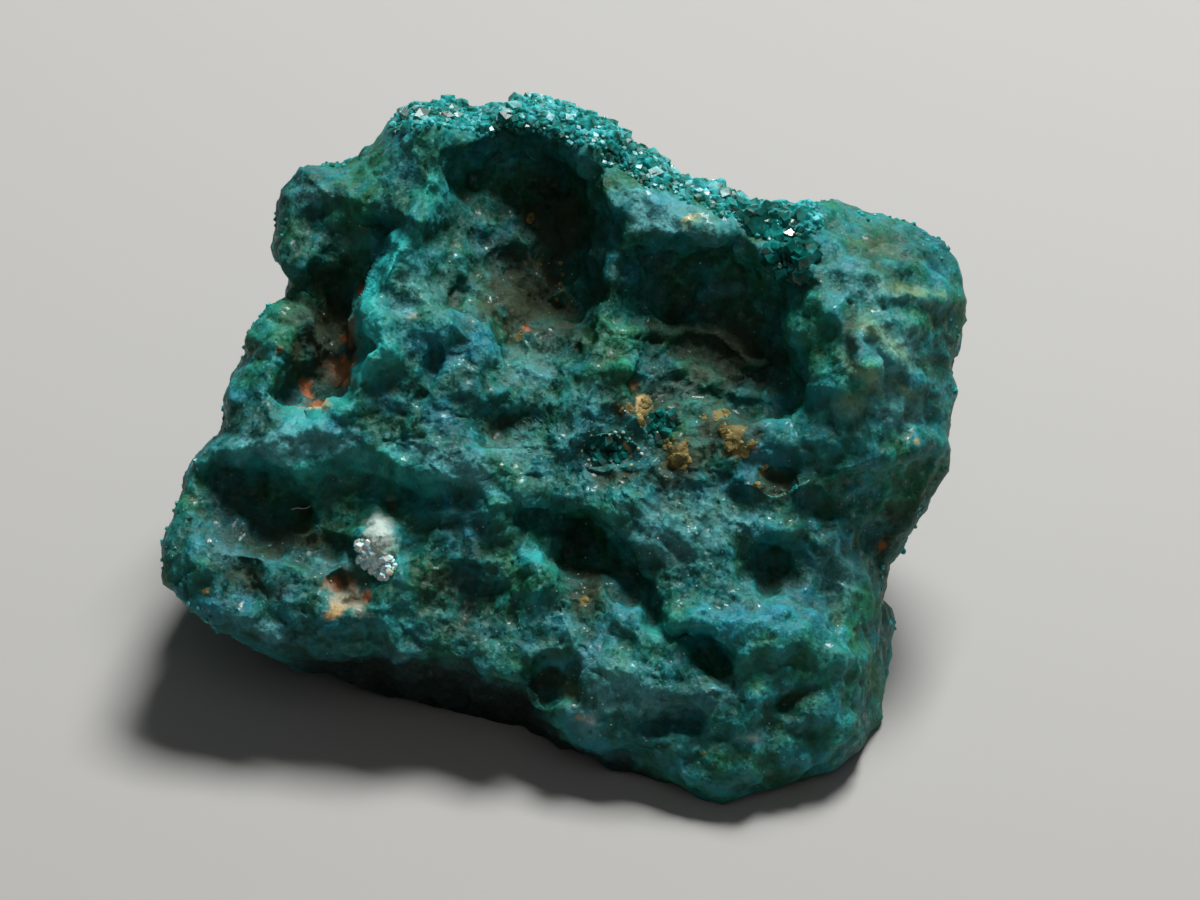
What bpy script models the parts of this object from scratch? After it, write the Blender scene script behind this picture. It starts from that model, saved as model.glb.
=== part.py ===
"""A thumb-sized chunk of massive dioptase: a pitted blue-green stone with small crystals along its top edge.

The broad face is drawn in its own plane, which leans back from upright by FACE_LEAN. Across is +X, up is up
the face, and out points away from the stone. Heights out of that plane make the hollows, ridges and ledges.
The stone rests on a flat break at z = 0. Lengths below are millimetres, and the finished mesh is in metres.
"""

import math

import bmesh
import bpy
import numpy as np
from mathutils import Matrix, Vector

NAME = "dioptase_stone"
MILLIMETRE = 0.001

FACE_LEAN = math.radians(40.0)
REST_DEPTH = 9.1  # from the face plane's middle straight down to the floor
BASE_CENTRE = np.array([-0.1, 2.2, 0.0])  # the place on the floor that becomes the origin

# The rim, once around the face from its right-hand side: across, up, out.
RIM = [
    (15.5, 0.8, -2.2), (15.7, 3.2, -2.4), (16.3, 6.0, -2.8), (16.0, 7.4, -3.0), (15.5, 8.6, -3.1),
    (14.2, 9.0, -3.3), (12.6, 9.4, -3.4), (11.0, 10.2, -3.6),
    (9.7, 9.8, -3.8), (7.5, 9.9, -4.0), (6.2, 10.7, -4.2), (4.7, 11.0, -4.3), (3.9, 11.8, -4.4),
    (2.5, 12.4, -4.5), (1.9, 13.0, -4.6), (0.8, 13.5, -4.7), (0.2, 14.1, -4.8), (-1.4, 14.3, -4.8),
    (-3.7, 13.7, -4.6), (-4.6, 14.1, -4.6), (-6.1, 14.1, -4.5), (-8.3, 11.8, -4.0), (-9.3, 11.4, -3.9),
    (-10.9, 11.7, -3.8), (-11.6, 10.6, -3.7), (-11.7, 7.9, -3.4), (-11.0, 6.7, -3.2), (-11.2, 6.1, -3.0),
    (-12.8, 4.5, -2.2), (-12.8, 3.8, -2.0), (-13.8, 2.1, -1.4), (-13.9, 0.8, -0.9), (-15.1, -0.5, -0.4),
    (-15.5, -2.7, 0.4), (-16.0, -3.8, 0.9), (-16.0, -5.3, 1.3), (-15.6, -5.7, 1.5), (-12.3, -8.1, 1.6),
    (-9.2, -8.9, -0.8), (-9.0, -9.3, -2.4), (-5.5, -10.2, -2.0), (-1.8, -11.2, -0.8), (1.4, -12.3, 0.6),
    (4.6, -13.4, 1.9), (6.3, -14.0, 2.8), (8.5, -13.6, 2.3), (10.9, -12.8, 1.5), (12.0, -11.9, 0.8),
    (12.4, -11.2, -0.3), (12.8, -8.8, -1.6), (13.3, -7.2, -2.0), (13.2, -6.4, -2.2), (12.9, -6.1, -2.3),
    (12.9, -5.3, -2.3), (13.1, -4.6, -2.3), (14.1, -3.2, -2.2), (15.7, -0.9, -2.2),
]
BACK_MIDDLE = (0.5, -3.5, -15.0)  # where the hidden side ends: across, up, out
BACK_SQUARENESS = 0.62  # 1 is an ellipsoid, and less is boxier
BACK_RADII = (14.2, 12.4)  # the oval that the rim's outline fades into behind: across, up
BACK_FADE = 0.5  # the share of the way back over which it does

# Flat breaks behind and below: the way each faces in the room, and its distance from the stone's middle.
MIDDLE = np.array([-0.5, 2.5, 6.5])
BREAKS = [
    ((0.0, 0.0, -1.0), 6.8),  # underneath, which the resting face trims
    ((-0.80, 0.10, -0.60), 12.7),  # below the left lobe
    ((-0.62, 0.78, 0.05), 12.9),
    ((0.28, 0.93, 0.24), 12.3),
    ((0.72, 0.62, -0.30), 12.6),
    ((0.05, 0.80, -0.60), 9.6),
    ((0.85, 0.25, -0.46), 12.8),
]

# Hollows: across, up, half length, half width, turn in degrees, depth, fade. A fade of 1 is a round bowl with
# a sharp edge, and more is a dip whose edge fades out.
HOLLOWS = [
    (-2.0, 8.1, 4.8, 4.4, 60.0, 2.3, 1.5),  # the big bowl under the top edge
    (-1.2, 4.6, 3.5, 2.8, 90.0, 1.3, 1.6),  # its mouth, running down the face
    (-9.6, 4.5, 4.4, 2.2, 72.0, 1.4, 1.6),  # the long rusty hollow on the left
    (5.8, 4.3, 5.2, 4.0, -12.0, 1.2, 1.5),  # the broad dished face on the right
    (-2.4, 1.0, 2.1, 1.3, 0.0, 0.6, 1.7),  # pit above the middle ridge
    (-6.7, 0.5, 1.2, 1.1, 0.0, 0.6, 1.8),
    (0.6, -4.2, 2.1, 1.5, -38.0, 1.3, 1.6),  # the deep hole below the middle
    (2.8, -5.7, 2.0, 1.0, -42.0, 0.6, 1.8),
    (-13.4, -2.4, 2.6, 1.9, -15.0, 1.0, 1.6),  # the left lobe's hollows
    (-10.4, -3.2, 2.4, 2.0, 0.0, 1.0, 1.7),
    (-12.5, -5.6, 1.8, 1.2, -25.0, 0.8, 1.6),
    (-8.8, -5.7, 1.4, 1.2, 0.0, 0.5, 1.6),
    (-3.3, -6.0, 2.6, 1.5, -10.0, 0.7, 1.8),  # green dip above the lower edge
    (8.8, -5.2, 2.6, 1.8, -20.0, 0.8, 1.9),  # the lower right's hollows
    (10.6, -6.4, 1.4, 1.8, 0.0, 0.5, 1.8),
    (5.6, -8.3, 2.3, 1.0, -40.0, 0.8, 1.7),
    (8.9, -10.1, 2.0, 1.2, 25.0, 0.6, 1.8),
    (11.4, -9.6, 1.3, 1.5, 0.0, 0.5, 1.8),
    (3.9, -10.9, 2.3, 1.0, -12.0, 0.6, 1.8),
    (-0.5, -9.2, 1.6, 1.3, -30.0, 1.1, 1.3),
    (14.1, 1.3, 0.9, 0.8, 0.0, 0.8, 1.4),  # pits on the right lobe
    (12.8, -3.7, 0.9, 1.1, 0.0, 1.1, 1.2),
    (3.8, 1.1, 0.9, 0.7, 0.0, 0.8, 1.3),  # the two crystal-lined pockets
    (1.9, -0.1, 1.0, 0.6, -10.0, 0.6, 1.3),
    (8.2, -1.1, 0.7, 0.7, 0.0, 0.6, 1.2),
    (-10.2, 9.2, 1.6, 1.1, 30.0, 0.6, 1.6),  # dips in the left shoulder
    (-4.4, 3.6, 1.3, 1.0, 20.0, 0.5, 1.6),
    (-4.4, 6.1, 1.5, 1.1, -20.0, 0.7, 1.6),  # the plateau's own dips
    (-5.4, 3.4, 1.6, 0.5, 80.0, 0.5, 1.4),
]

# Swellings, in the same order, without a fade.
SWELLINGS = [
    (11.7, 4.2, 3.6, 5.6, 8.0, 1.9),  # the right lobe
    (8.2, -8.2, 3.8, 3.6, 10.0, 0.8),  # the bright swelling at the lower right
    (4.2, 9.5, 3.2, 1.8, -25.0, 0.8),  # the frosted shelf right of the bowl
    (-5.6, 4.2, 2.3, 3.2, -10.0, 1.0),  # the plateau right of the rusty hollow
    (-4.8, -0.4, 2.8, 1.3, -15.0, 1.0),  # the pale middle ridge
    (-11.4, 0.7, 2.8, 0.9, 5.0, 0.7),  # the brow over the left lobe
    (4.2, -3.0, 2.0, 1.3, 0.0, 0.5),
    (3.2, -7.0, 1.0, 2.0, 20.0, 0.6),
    (-9.4, -1.9, 1.0, 1.8, 10.0, 0.4),
    (-7.4, -3.6, 0.8, 1.4, 8.0, 0.6),  # the white patch
]

# Ridges: height, half width, and the line they follow as (across, up).
RIDGES = [
    (0.7, 0.8, [(-6.0, 9.4), (-7.0, 7.6), (-7.5, 6.0), (-7.5, 4.0), (-8.6, 2.2), (-9.9, 1.5)]),
    (0.7, 0.7, [(-5.2, 12.2), (-5.4, 10.6), (-6.0, 9.4)]),
    (0.7, 0.6, [(-2.2, -2.9), (-1.2, -4.1), (-0.8, -5.4)]),
    (0.6, 0.5, [(12.3, 5.0), (13.6, 3.6), (15.2, 2.4)]),
    (0.6, 0.4, [(12.9, 6.2), (14.3, 6.0), (15.6, 5.8)]),
    (0.6, 0.5, [(7.2, -1.2), (10.5, -1.3), (13.0, -0.3), (15.5, 0.3)]),
    (0.5, 0.5, [(9.4, 7.9), (10.2, 6.0), (11.6, 4.9), (12.0, 3.0)]),
    (0.45, 0.6, [(2.4, -6.9), (3.7, -6.4), (5.0, -6.6), (7.4, -7.7), (9.6, -7.6)]),
    (0.4, 0.5, [(5.4, -9.9), (7.0, -8.9), (7.6, -10.8)]),
    (0.35, 0.35, [(2.6, 4.8), (5.2, 4.9), (8.0, 3.4)]),  # layers showing in the dished face
    (0.3, 0.3, [(2.2, 3.0), (4.8, 3.3), (7.8, 1.8)]),
]

# Creases, past which the face falls away: across, up, the way down in degrees, slope, half span.
CREASES = [
    (13.4, -0.4, 283.0, 0.6, 2.6),  # the dark facet at the lower right
    (-10.6, 8.0, 150.0, 0.35, 3.5),  # the left shoulder
    (10.8, -10.6, 300.0, 0.35, 3.5),  # the bottom corner
]

# The crease along the bottom of the face, below which the stone falls away towards its resting face.
LOWER_EDGE = [
    (-12.3, -8.2), (-11.4, -8.2), (-7.1, -7.7), (-3.7, -8.2), (-1.8, -9.1), (-1.2, -10.2), (0.0, -11.1),
    (2.3, -11.6), (4.0, -12.9), (6.3, -14.0),
]
LOWER_SLOPE = 1.6

# Cliffs, the steep sides of the hollows: drop, width of the edge, how far the floor stays low, and the line
# they follow as (across, up), walked with the low side on the right.
CLIFFS = [
    (2.4, 1.2, 2.8, [
        (-5.4, 11.2), (-2.8, 12.6), (-0.5, 12.2), (0.9, 11.3), (1.6, 9.7), (1.7, 8.2), (1.3, 5.9), (0.6, 4.2),
    ]),
    (1.8, 1.0, 4.4, [(1.6, 8.0), (4.5, 8.3), (6.9, 8.3), (8.2, 6.8), (9.2, 4.8), (10.0, 2.8), (9.4, 0.0)]),
    (2.1, 0.7, 2.4, [
        (-6.3, 9.6), (-7.3, 7.6), (-7.9, 6.1), (-7.9, 4.0), (-8.9, 2.3), (-10.4, 1.4), (-12.2, 2.2),
    ]),
    (1.3, 1.4, 2.0, [(-3.0, -2.2), (-0.2, -2.3), (1.8, -3.1), (3.4, -5.1), (4.5, -7.4)]),
    (1.1, 1.3, 3.4, [(-14.8, -0.2), (-11.1, -1.3), (-9.1, -0.9), (-7.3, -0.7), (-5.9, -1.5), (-4.4, -2.5)]),
    (0.8, 1.3, 2.6, [(9.0, -1.4), (10.9, -0.9), (13.0, -0.1), (16.0, 0.6)]),
    (0.6, 1.0, 1.4, [(2.6, -8.6), (3.6, -7.2), (5.1, -7.0), (6.7, -8.0), (8.0, -9.6)]),
    (0.6, 1.7, 2.0, [(6.1, -5.2), (8.0, -3.7), (10.1, -3.8), (11.9, -5.6)]),
    (0.4, 1.2, 1.5, [(7.2, -9.9), (9.3, -8.7), (12.0, -8.9)]),
    (0.5, 1.2, 1.5, [(1.6, -11.2), (3.4, -10.0), (5.3, -10.3), (6.9, -12.0)]),
    (0.4, 1.3, 1.6, [(-5.0, 1.0), (-3.2, 2.1), (-1.7, 1.9), (0.1, 0.6)]),
    (0.2, 0.8, 1.0, [(12.6, 1.4), (14.0, 2.3), (15.4, 1.4)]),
]
CLIFF_END = 1.4  # how far from each end of its line a cliff takes to reach its full drop

FACE_FALL = 0.22  # how far the face falls back for each millimetre up it
FACE_PROUD = 1.4  # how far its middle stands out of the rim's plane
RIM_POWER = 9.0  # how close to the rim the face turns over

# Roughness, as height and size: the shift that bends every outline on the face, the lumps, the cups that meet
# in ridges, and the shift that bends those cups. It is calmer at the rim: by how much, and how near.
WANDER = [(0.50, 2.4), (0.16, 0.9)]
LUMPS = [(0.30, 2.8), (0.16, 1.1)]
CUPS = [(0.60, 2.3), (0.20, 1.1)]
CUP_MIDDLE = 0.3
CUP_BEND = (0.5, 1.7)
RIM_CALM = (0.3, 0.12)

# The band of small crystals along the top edge and down its right-hand slope, as (across, up).
CRYSTAL_LINE = [
    (-6.0, 13.4), (-4.6, 13.6), (-1.2, 13.8), (0.6, 13.2), (2.6, 12.2), (4.8, 10.9), (7.4, 9.7), (9.5, 9.2),
]
CRYSTAL_REACH = 0.9
CRYSTAL_COUNT = 64
CRYSTAL_GAP = 0.7
CRYSTAL_BACK_LIMIT = -5.6  # how far behind the face's plane the band reaches
CRYSTAL_RADIUS = (0.35, 0.6)
CRYSTAL_LEAN = 0.5  # the spread of their lean, as a slope
CRYSTAL_LENGTH = 1.7  # as a share of the radius; the lower half is in the stone
CRYSTAL_TIP = 0.5  # the blunt tip's share of the radius

START_LEVEL = 7  # the starting sphere's subdivisions
SKIN_VOXEL = 0.2
THINNING = 0.047  # the share of the faces that are kept
FLOOR_BLOCK = 60.0
SEED = 11


def cell_pick(cell, table):
    """The row of a random table that belongs to each unit cell, found by mixing its three whole numbers."""
    return table[(cell[:, 0] * 73856093 ^ cell[:, 1] * 19349663 ^ cell[:, 2] * 83492791) % len(table)]


def noise(points, seed):
    """Smooth noise in about -1 to 1: random slopes at the corners of unit cells, which meet by the blend
    t^3 (6 t^2 - 15 t + 10)."""
    slopes = np.random.default_rng(seed).normal(size=(4096, 3))
    slopes /= np.linalg.norm(slopes, axis=1)[:, None]
    cell = np.floor(points).astype(np.int64)
    inside = points - cell
    blend = inside**3 * (inside * (6.0 * inside - 15.0) + 10.0)
    total = np.zeros(len(points))
    for corner in np.ndindex(2, 2, 2):
        weight = np.where(corner, blend, 1.0 - blend).prod(axis=1)
        total += weight * (cell_pick(cell + corner, slopes) * (inside - corner)).sum(axis=1)
    return total * 1.5


def scallops(points, seed):
    """Shallow cups that meet in sharp ridges: the squared distance to the nearest of the random spots, one in
    each unit cell."""
    spots = np.random.default_rng(seed).uniform(size=(4096, 3))
    cell = np.floor(points).astype(np.int64)
    nearest = np.full(len(points), np.inf)
    for step in np.ndindex(3, 3, 3):
        at = cell + np.array(step) - 1
        nearest = np.minimum(nearest, ((points - at - cell_pick(at, spots)) ** 2).sum(axis=1))
    return nearest


def turned(x, y, across, up, half_length, half_width, turn):
    """The distance from an oval's middle, as a share of its radius in that direction."""
    angle = math.radians(turn)
    along = (x - across) * math.cos(angle) + (y - up) * math.sin(angle)
    beside = (y - up) * math.cos(angle) - (x - across) * math.sin(angle)
    return np.hypot(along / half_length, beside / half_width)


def beside_line(x, y, line):
    """The distance to the nearest point of a line of straight pieces."""
    nearest = np.full(x.shape, np.inf)
    for (x0, y0), (x1, y1) in zip(line[:-1], line[1:]):
        length_squared = (x1 - x0) ** 2 + (y1 - y0) ** 2
        share = np.clip(((x - x0) * (x1 - x0) + (y - y0) * (y1 - y0)) / length_squared, 0.0, 1.0)
        nearest = np.minimum(nearest, np.hypot(x - x0 - share * (x1 - x0), y - y0 - share * (y1 - y0)))
    return nearest


def past_line(x, y, line):
    """How far past a line each place is, above 0 on its right-hand side, and how far its nearest point on the
    line is from the nearer end."""
    nearest = np.full(x.shape, np.inf)
    side = np.zeros(x.shape)
    along = np.zeros(x.shape)
    walked = 0.0
    for (x0, y0), (x1, y1) in zip(line[:-1], line[1:]):
        length = math.hypot(x1 - x0, y1 - y0)
        way_x, way_y = (x1 - x0) / length, (y1 - y0) / length
        run = np.clip((x - x0) * way_x + (y - y0) * way_y, 0.0, length)
        distance = np.hypot(x - x0 - run * way_x, y - y0 - run * way_y)
        right = (x - x0) * way_y - (y - y0) * way_x
        same = np.abs(distance - nearest) < 1e-9  # at a bend, the piece that it is more to one side of tells
        closer = (distance < nearest) & ~same | same & (np.abs(right) > np.abs(side))
        nearest = np.where(closer, distance, nearest)
        side = np.where(closer, right, side)
        along = np.where(closer, walked + run, along)
        walked += length
    return np.copysign(nearest, side), np.minimum(along, walked - along)


def smooth_step(t):
    """0 below 0 and 1 above 1, by t^2 (3 - 2 t) between."""
    t = np.clip(t, 0.0, 1.0)
    return t * t * (3.0 - 2.0 * t)


def wandered(x, y):
    """Where broad and small noise carry each place of the face, so that no outline on it looks drawn."""
    place = np.stack([x, y, np.zeros_like(x)], axis=1)
    for order, (shift, size) in enumerate(WANDER):
        x = x + shift * noise(place / size, SEED + 1 + 11 * order)
        y = y + shift * noise(place / size, SEED + 2 + 11 * order)
    return x, y


def face_height(x, y):
    """How far the broad face stands out of its plane at (x, y)."""
    x, y = wandered(x, y)
    height = FACE_PROUD - FACE_FALL * y
    for across, up, half_length, half_width, turn, rise in SWELLINGS:
        height = height + rise * np.exp(-turned(x, y, across, up, half_length, half_width, turn) ** 2)
    for rise, half_width, line in RIDGES:
        height = height + rise * np.exp(-((beside_line(x, y, line) / half_width) ** 2))
    for across, up, half_length, half_width, turn, depth, fade in HOLLOWS:
        share = turned(x, y, across, up, half_length, half_width, turn)
        height = height - depth * np.clip(1.0 - share**2, 0.0, 1.0) ** fade
    for across, up, way, slope, half_span in CREASES:
        angle = math.radians(way)
        past = (x - across) * math.cos(angle) + (y - up) * math.sin(angle)
        aside = (y - up) * math.cos(angle) - (x - across) * math.sin(angle)
        height = height - slope * np.clip(past, 0.0, None) * np.exp(-((aside / half_span) ** 4))
    for drop, edge, reach, line in CLIFFS:
        past, from_end = past_line(x, y, line)
        floor = np.exp(-((np.clip(past, 0.0, None) / reach) ** 2))
        height = height - drop * smooth_step(from_end / CLIFF_END) * smooth_step(0.5 + past / edge) * floor
    edge_across, edge_up = np.array(LOWER_EDGE).T
    edge = np.interp(x, edge_across, edge_up, left=-np.inf, right=-np.inf)
    return height - LOWER_SLOPE * np.clip(edge - y, 0.0, None)


def stone_places(directions):
    """Where each direction from the stone's middle meets its skin: across, up, out. The face is the half with
    out above 0, spread evenly over the rim by sqrt(2) sin(angle / 2). The back is a squared-off ellipsoid."""
    around = np.arctan2(directions[:, 1], directions[:, 0]) % (2.0 * math.pi)
    tilt = np.arccos(np.clip(directions[:, 2], -1.0, 1.0))
    rim = np.array(RIM)
    rim_around = np.arctan2(rim[:, 1], rim[:, 0]) % (2.0 * math.pi)
    order = np.argsort(rim_around)
    radius, out = (
        np.interp(around, rim_around[order], values[order], period=2.0 * math.pi)
        for values in (np.hypot(rim[:, 0], rim[:, 1]), rim[:, 2])
    )
    share = np.minimum(math.sqrt(2.0) * np.sin(tilt / 2.0), 1.0)
    turn_back = np.clip(tilt - math.pi / 2.0, 0.0, math.pi / 2.0)
    oval = 1.0 / np.hypot(np.cos(around) / BACK_RADII[0], np.sin(around) / BACK_RADII[1])
    radius = radius + (oval - radius) * smooth_step(np.sin(turn_back) / BACK_FADE)
    keep = np.cos(turn_back) ** BACK_SQUARENESS
    sink = np.sin(turn_back) ** BACK_SQUARENESS
    x = radius * np.cos(around) * share
    y = radius * np.sin(around) * share
    front = out + (face_height(x, y) - out) * np.sqrt(1.0 - share**RIM_POWER)
    middle_x, middle_y, middle_out = BACK_MIDDLE
    behind = tilt > math.pi / 2.0
    return np.stack(
        [
            np.where(behind, middle_x + (x - middle_x) * keep, x),
            np.where(behind, middle_y + (y - middle_y) * keep, y),
            np.where(behind, out + (middle_out - out) * sink, front),
        ],
        axis=1,
    )


def broken_off(places):
    """Draws in whatever lies past a flat break, along its line to the stone's middle."""
    spoke = places - MIDDLE
    share = np.ones(len(places))
    for way, distance in BREAKS:
        reach = spoke @ (np.array(way) / np.linalg.norm(way))
        share = np.minimum(share, distance / np.maximum(reach, distance))
    return MIDDLE + spoke * share[:, None]


def upright(places):
    """Turns (across, up, out) on the leaning face into room coordinates over the resting face."""
    x, up, out = places.T
    back = up * math.sin(FACE_LEAN) - out * math.cos(FACE_LEAN)
    height = up * math.cos(FACE_LEAN) + out * math.sin(FACE_LEAN) + REST_DEPTH
    return np.stack([x, back, height], axis=1)


def roughness(places, directions):
    """How far the lumps and cups move each place of the skin along its normal."""
    bend, bend_size = CUP_BEND
    bent = places + bend * np.stack([noise(places / bend_size, SEED + 3 + axis) for axis in range(3)], axis=1)
    height = np.zeros(len(places))
    for order, (rise, size) in enumerate(LUMPS):
        height += rise * noise(places / size, SEED + 6 + order)
    for order, (rise, size) in enumerate(CUPS):
        height += rise * (scallops(bent / size, SEED + 8 + order) - CUP_MIDDLE)
    calm, nearness = RIM_CALM
    return height * (1.0 - calm * np.exp(-((directions[:, 2] / nearness) ** 2)))


def read_places(mesh, what):
    """The vertices' own places or normals, as rows of three."""
    values = np.empty(len(mesh.vertices) * 3)
    mesh.vertices.foreach_get(what, values)
    return values.reshape(-1, 3)


def stone_skin():
    """A fine sphere moved onto the stone's skin and roughened along its normals: (mesh, face places,
    normals)."""
    ball = bmesh.new()
    bmesh.ops.create_icosphere(ball, subdivisions=START_LEVEL, radius=1.0)
    mesh = bpy.data.meshes.new(NAME)
    ball.to_mesh(mesh)
    ball.free()
    directions = read_places(mesh, "co")
    on_face = stone_places(directions)
    places = broken_off(upright(on_face))
    mesh.vertices.foreach_set("co", places.ravel())
    mesh.update()
    places = places + read_places(mesh, "normal") * roughness(places, directions)[:, None]
    mesh.vertices.foreach_set("co", ((places - BASE_CENTRE) * MILLIMETRE).ravel())
    mesh.update()
    return mesh, on_face, read_places(mesh, "normal")


def crystal_druse(mesh, on_face, normals):
    """Six-sided crystals with blunt tips, standing in the skin along the top edge."""
    chance = np.random.default_rng(SEED)
    near = beside_line(on_face[:, 0], on_face[:, 1], CRYSTAL_LINE) < CRYSTAL_REACH
    near &= on_face[:, 2] > CRYSTAL_BACK_LIMIT
    feet = []
    for index in chance.permutation(np.flatnonzero(near)):
        foot = mesh.vertices[int(index)].co / MILLIMETRE
        if all((foot - other).length > CRYSTAL_GAP for other, _ in feet):
            feet.append((foot, Vector(normals[index])))
        if len(feet) == CRYSTAL_COUNT:
            break
    druse = bmesh.new()
    for foot, normal in feet:
        lean = Vector(chance.normal(scale=CRYSTAL_LEAN, size=3))
        turn = (normal + lean).normalized().to_track_quat("Z", "Y").to_matrix().to_4x4()
        spin = Matrix.Rotation(chance.uniform(0.0, math.pi), 4, "Z")
        radius = chance.uniform(*CRYSTAL_RADIUS) * MILLIMETRE
        bmesh.ops.create_cone(
            druse,
            cap_ends=True,
            segments=6,
            radius1=radius,
            radius2=CRYSTAL_TIP * radius,
            depth=CRYSTAL_LENGTH * radius,
            matrix=Matrix.Translation(foot * MILLIMETRE) @ turn @ spin,
        )
    grown = bpy.data.meshes.new("crystal_druse")
    druse.to_mesh(grown)
    druse.free()
    return grown


def floor_block():
    """A block whose top is the floor, for cutting the resting face flat."""
    block = bmesh.new()
    side = FLOOR_BLOCK * MILLIMETRE
    bmesh.ops.create_cube(block, size=side, matrix=Matrix.Translation((0.0, 0.0, -side / 2.0)))
    mesh = bpy.data.meshes.new("floor_block")
    block.to_mesh(mesh)
    block.free()
    return mesh


def teal_stone():
    material = bpy.data.materials.new("teal_stone")
    material.use_nodes = True
    shader = material.node_tree.nodes["Principled BSDF"]
    shader.inputs["Base Color"].default_value = (0.012, 0.135, 0.125, 1.0)
    shader.inputs["Roughness"].default_value = 0.42
    shader.inputs["Metallic"].default_value = 0.0
    return material


def add_helper(mesh, collection):
    """An object that only shapes the stone."""
    helper = bpy.data.objects.new(mesh.name, mesh)
    helper.hide_render = True
    helper.display_type = "WIRE"
    collection.objects.link(helper)
    return helper


for old in list(bpy.data.objects):
    bpy.data.objects.remove(old, do_unlink=True)

pieces = bpy.data.collections.new("dioptase_cluster")
helpers = bpy.data.collections.new("shaping_helpers")
for collection in (pieces, helpers):
    bpy.context.scene.collection.children.link(collection)

skin, skin_places, skin_normals = stone_skin()
stone = bpy.data.objects.new(NAME, skin)
pieces.objects.link(stone)
druse_helper = add_helper(crystal_druse(skin, skin_places, skin_normals), helpers)
floor_helper = add_helper(floor_block(), helpers)
shared_material = teal_stone()
for mesh in (skin, druse_helper.data, floor_helper.data):
    mesh.materials.append(shared_material)

heal = stone.modifiers.new("heal", "REMESH")
heal.mode = "VOXEL"
heal.voxel_size = SKIN_VOXEL * MILLIMETRE
heal.adaptivity = 0.0
thin = stone.modifiers.new("thin", "DECIMATE")
thin.ratio = THINNING
grow = stone.modifiers.new("grow_crystals", "BOOLEAN")
grow.operation = "UNION"
grow.use_self = True
grow.object = druse_helper
rest = stone.modifiers.new("resting_face", "BOOLEAN")
rest.operation = "DIFFERENCE"
rest.object = floor_helper
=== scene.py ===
import math

import bpy
import numpy as np
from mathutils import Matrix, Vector


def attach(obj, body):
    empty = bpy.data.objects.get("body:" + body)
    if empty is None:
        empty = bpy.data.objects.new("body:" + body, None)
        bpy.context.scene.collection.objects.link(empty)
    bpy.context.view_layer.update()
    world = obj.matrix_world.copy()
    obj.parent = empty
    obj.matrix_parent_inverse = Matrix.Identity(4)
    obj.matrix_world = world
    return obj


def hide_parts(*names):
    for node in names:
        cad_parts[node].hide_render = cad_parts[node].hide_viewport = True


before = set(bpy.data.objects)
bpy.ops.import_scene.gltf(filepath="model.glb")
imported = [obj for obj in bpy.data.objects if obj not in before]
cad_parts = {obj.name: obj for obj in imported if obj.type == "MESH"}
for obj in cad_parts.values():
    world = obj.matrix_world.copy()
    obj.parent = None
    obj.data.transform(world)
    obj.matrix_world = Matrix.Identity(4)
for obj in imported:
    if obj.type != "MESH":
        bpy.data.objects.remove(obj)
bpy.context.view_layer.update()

# ---- The stone ----
# The whole chunk of massive dioptase: a fine-grained blue-green mineral, waxy and slightly see-through. It
# was broken off its vein, and the broad broken face is full of rounded hollows. That face is drawn in its own
# plane, which leans back: across is +X, up is up the face, out points away. Sizes are in millimetres.
STONE = "stone_skin"
MILLIMETRE = 0.001
FACE_LEAN = math.radians(40.0)
REST_DEPTH = 9.1
BASE_CENTRE = np.array([-0.1, 2.2, 0.0])
SEED = 11

# The rim, once around the face from its right-hand side: across, up, out.
RIM = [
    (15.5, 0.8, -2.2), (15.7, 3.2, -2.4), (16.3, 6.0, -2.8), (16.0, 7.4, -3.0), (15.5, 8.6, -3.1),
    (14.2, 9.0, -3.3), (12.6, 9.4, -3.4), (11.0, 10.2, -3.6),
    (9.7, 9.8, -3.8), (7.5, 9.9, -4.0), (6.2, 10.7, -4.2), (4.7, 11.0, -4.3), (3.9, 11.8, -4.4),
    (2.5, 12.4, -4.5), (1.9, 13.0, -4.6), (0.8, 13.5, -4.7), (0.2, 14.1, -4.8), (-1.4, 14.3, -4.8),
    (-3.7, 13.7, -4.6), (-4.6, 14.1, -4.6), (-6.1, 14.1, -4.5), (-8.3, 11.8, -4.0), (-9.3, 11.4, -3.9),
    (-10.9, 11.7, -3.8), (-11.6, 10.6, -3.7), (-11.7, 7.9, -3.4), (-11.0, 6.7, -3.2), (-11.2, 6.1, -3.0),
    (-12.8, 4.5, -2.2), (-12.8, 3.8, -2.0), (-13.8, 2.1, -1.4), (-13.9, 0.8, -0.9), (-15.1, -0.5, -0.4),
    (-15.5, -2.7, 0.4), (-16.0, -3.8, 0.9), (-16.0, -5.3, 1.3), (-15.6, -5.7, 1.5), (-12.3, -8.1, 1.6),
    (-9.2, -8.9, -0.8), (-9.0, -9.3, -2.4), (-5.5, -10.2, -2.0), (-1.8, -11.2, -0.8), (1.4, -12.3, 0.6),
    (4.6, -13.4, 1.9), (6.3, -14.0, 2.8), (8.5, -13.6, 2.3), (10.9, -12.8, 1.5), (12.0, -11.9, 0.8),
    (12.4, -11.2, -0.3), (12.8, -8.8, -1.6), (13.3, -7.2, -2.0), (13.2, -6.4, -2.2), (12.9, -6.1, -2.3),
    (12.9, -5.3, -2.3), (13.1, -4.6, -2.3), (14.1, -3.2, -2.2), (15.7, -0.9, -2.2),
]
BACK_MIDDLE = (0.5, -3.5, -15.0)  # where the hidden side ends: across, up, out
BACK_SQUARENESS = 0.62  # 1 is an ellipsoid, and less is boxier
BACK_RADII = (14.2, 12.4)  # the oval that the rim's outline fades into behind: across, up
BACK_FADE = 0.5  # the share of the way back over which it does

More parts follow.
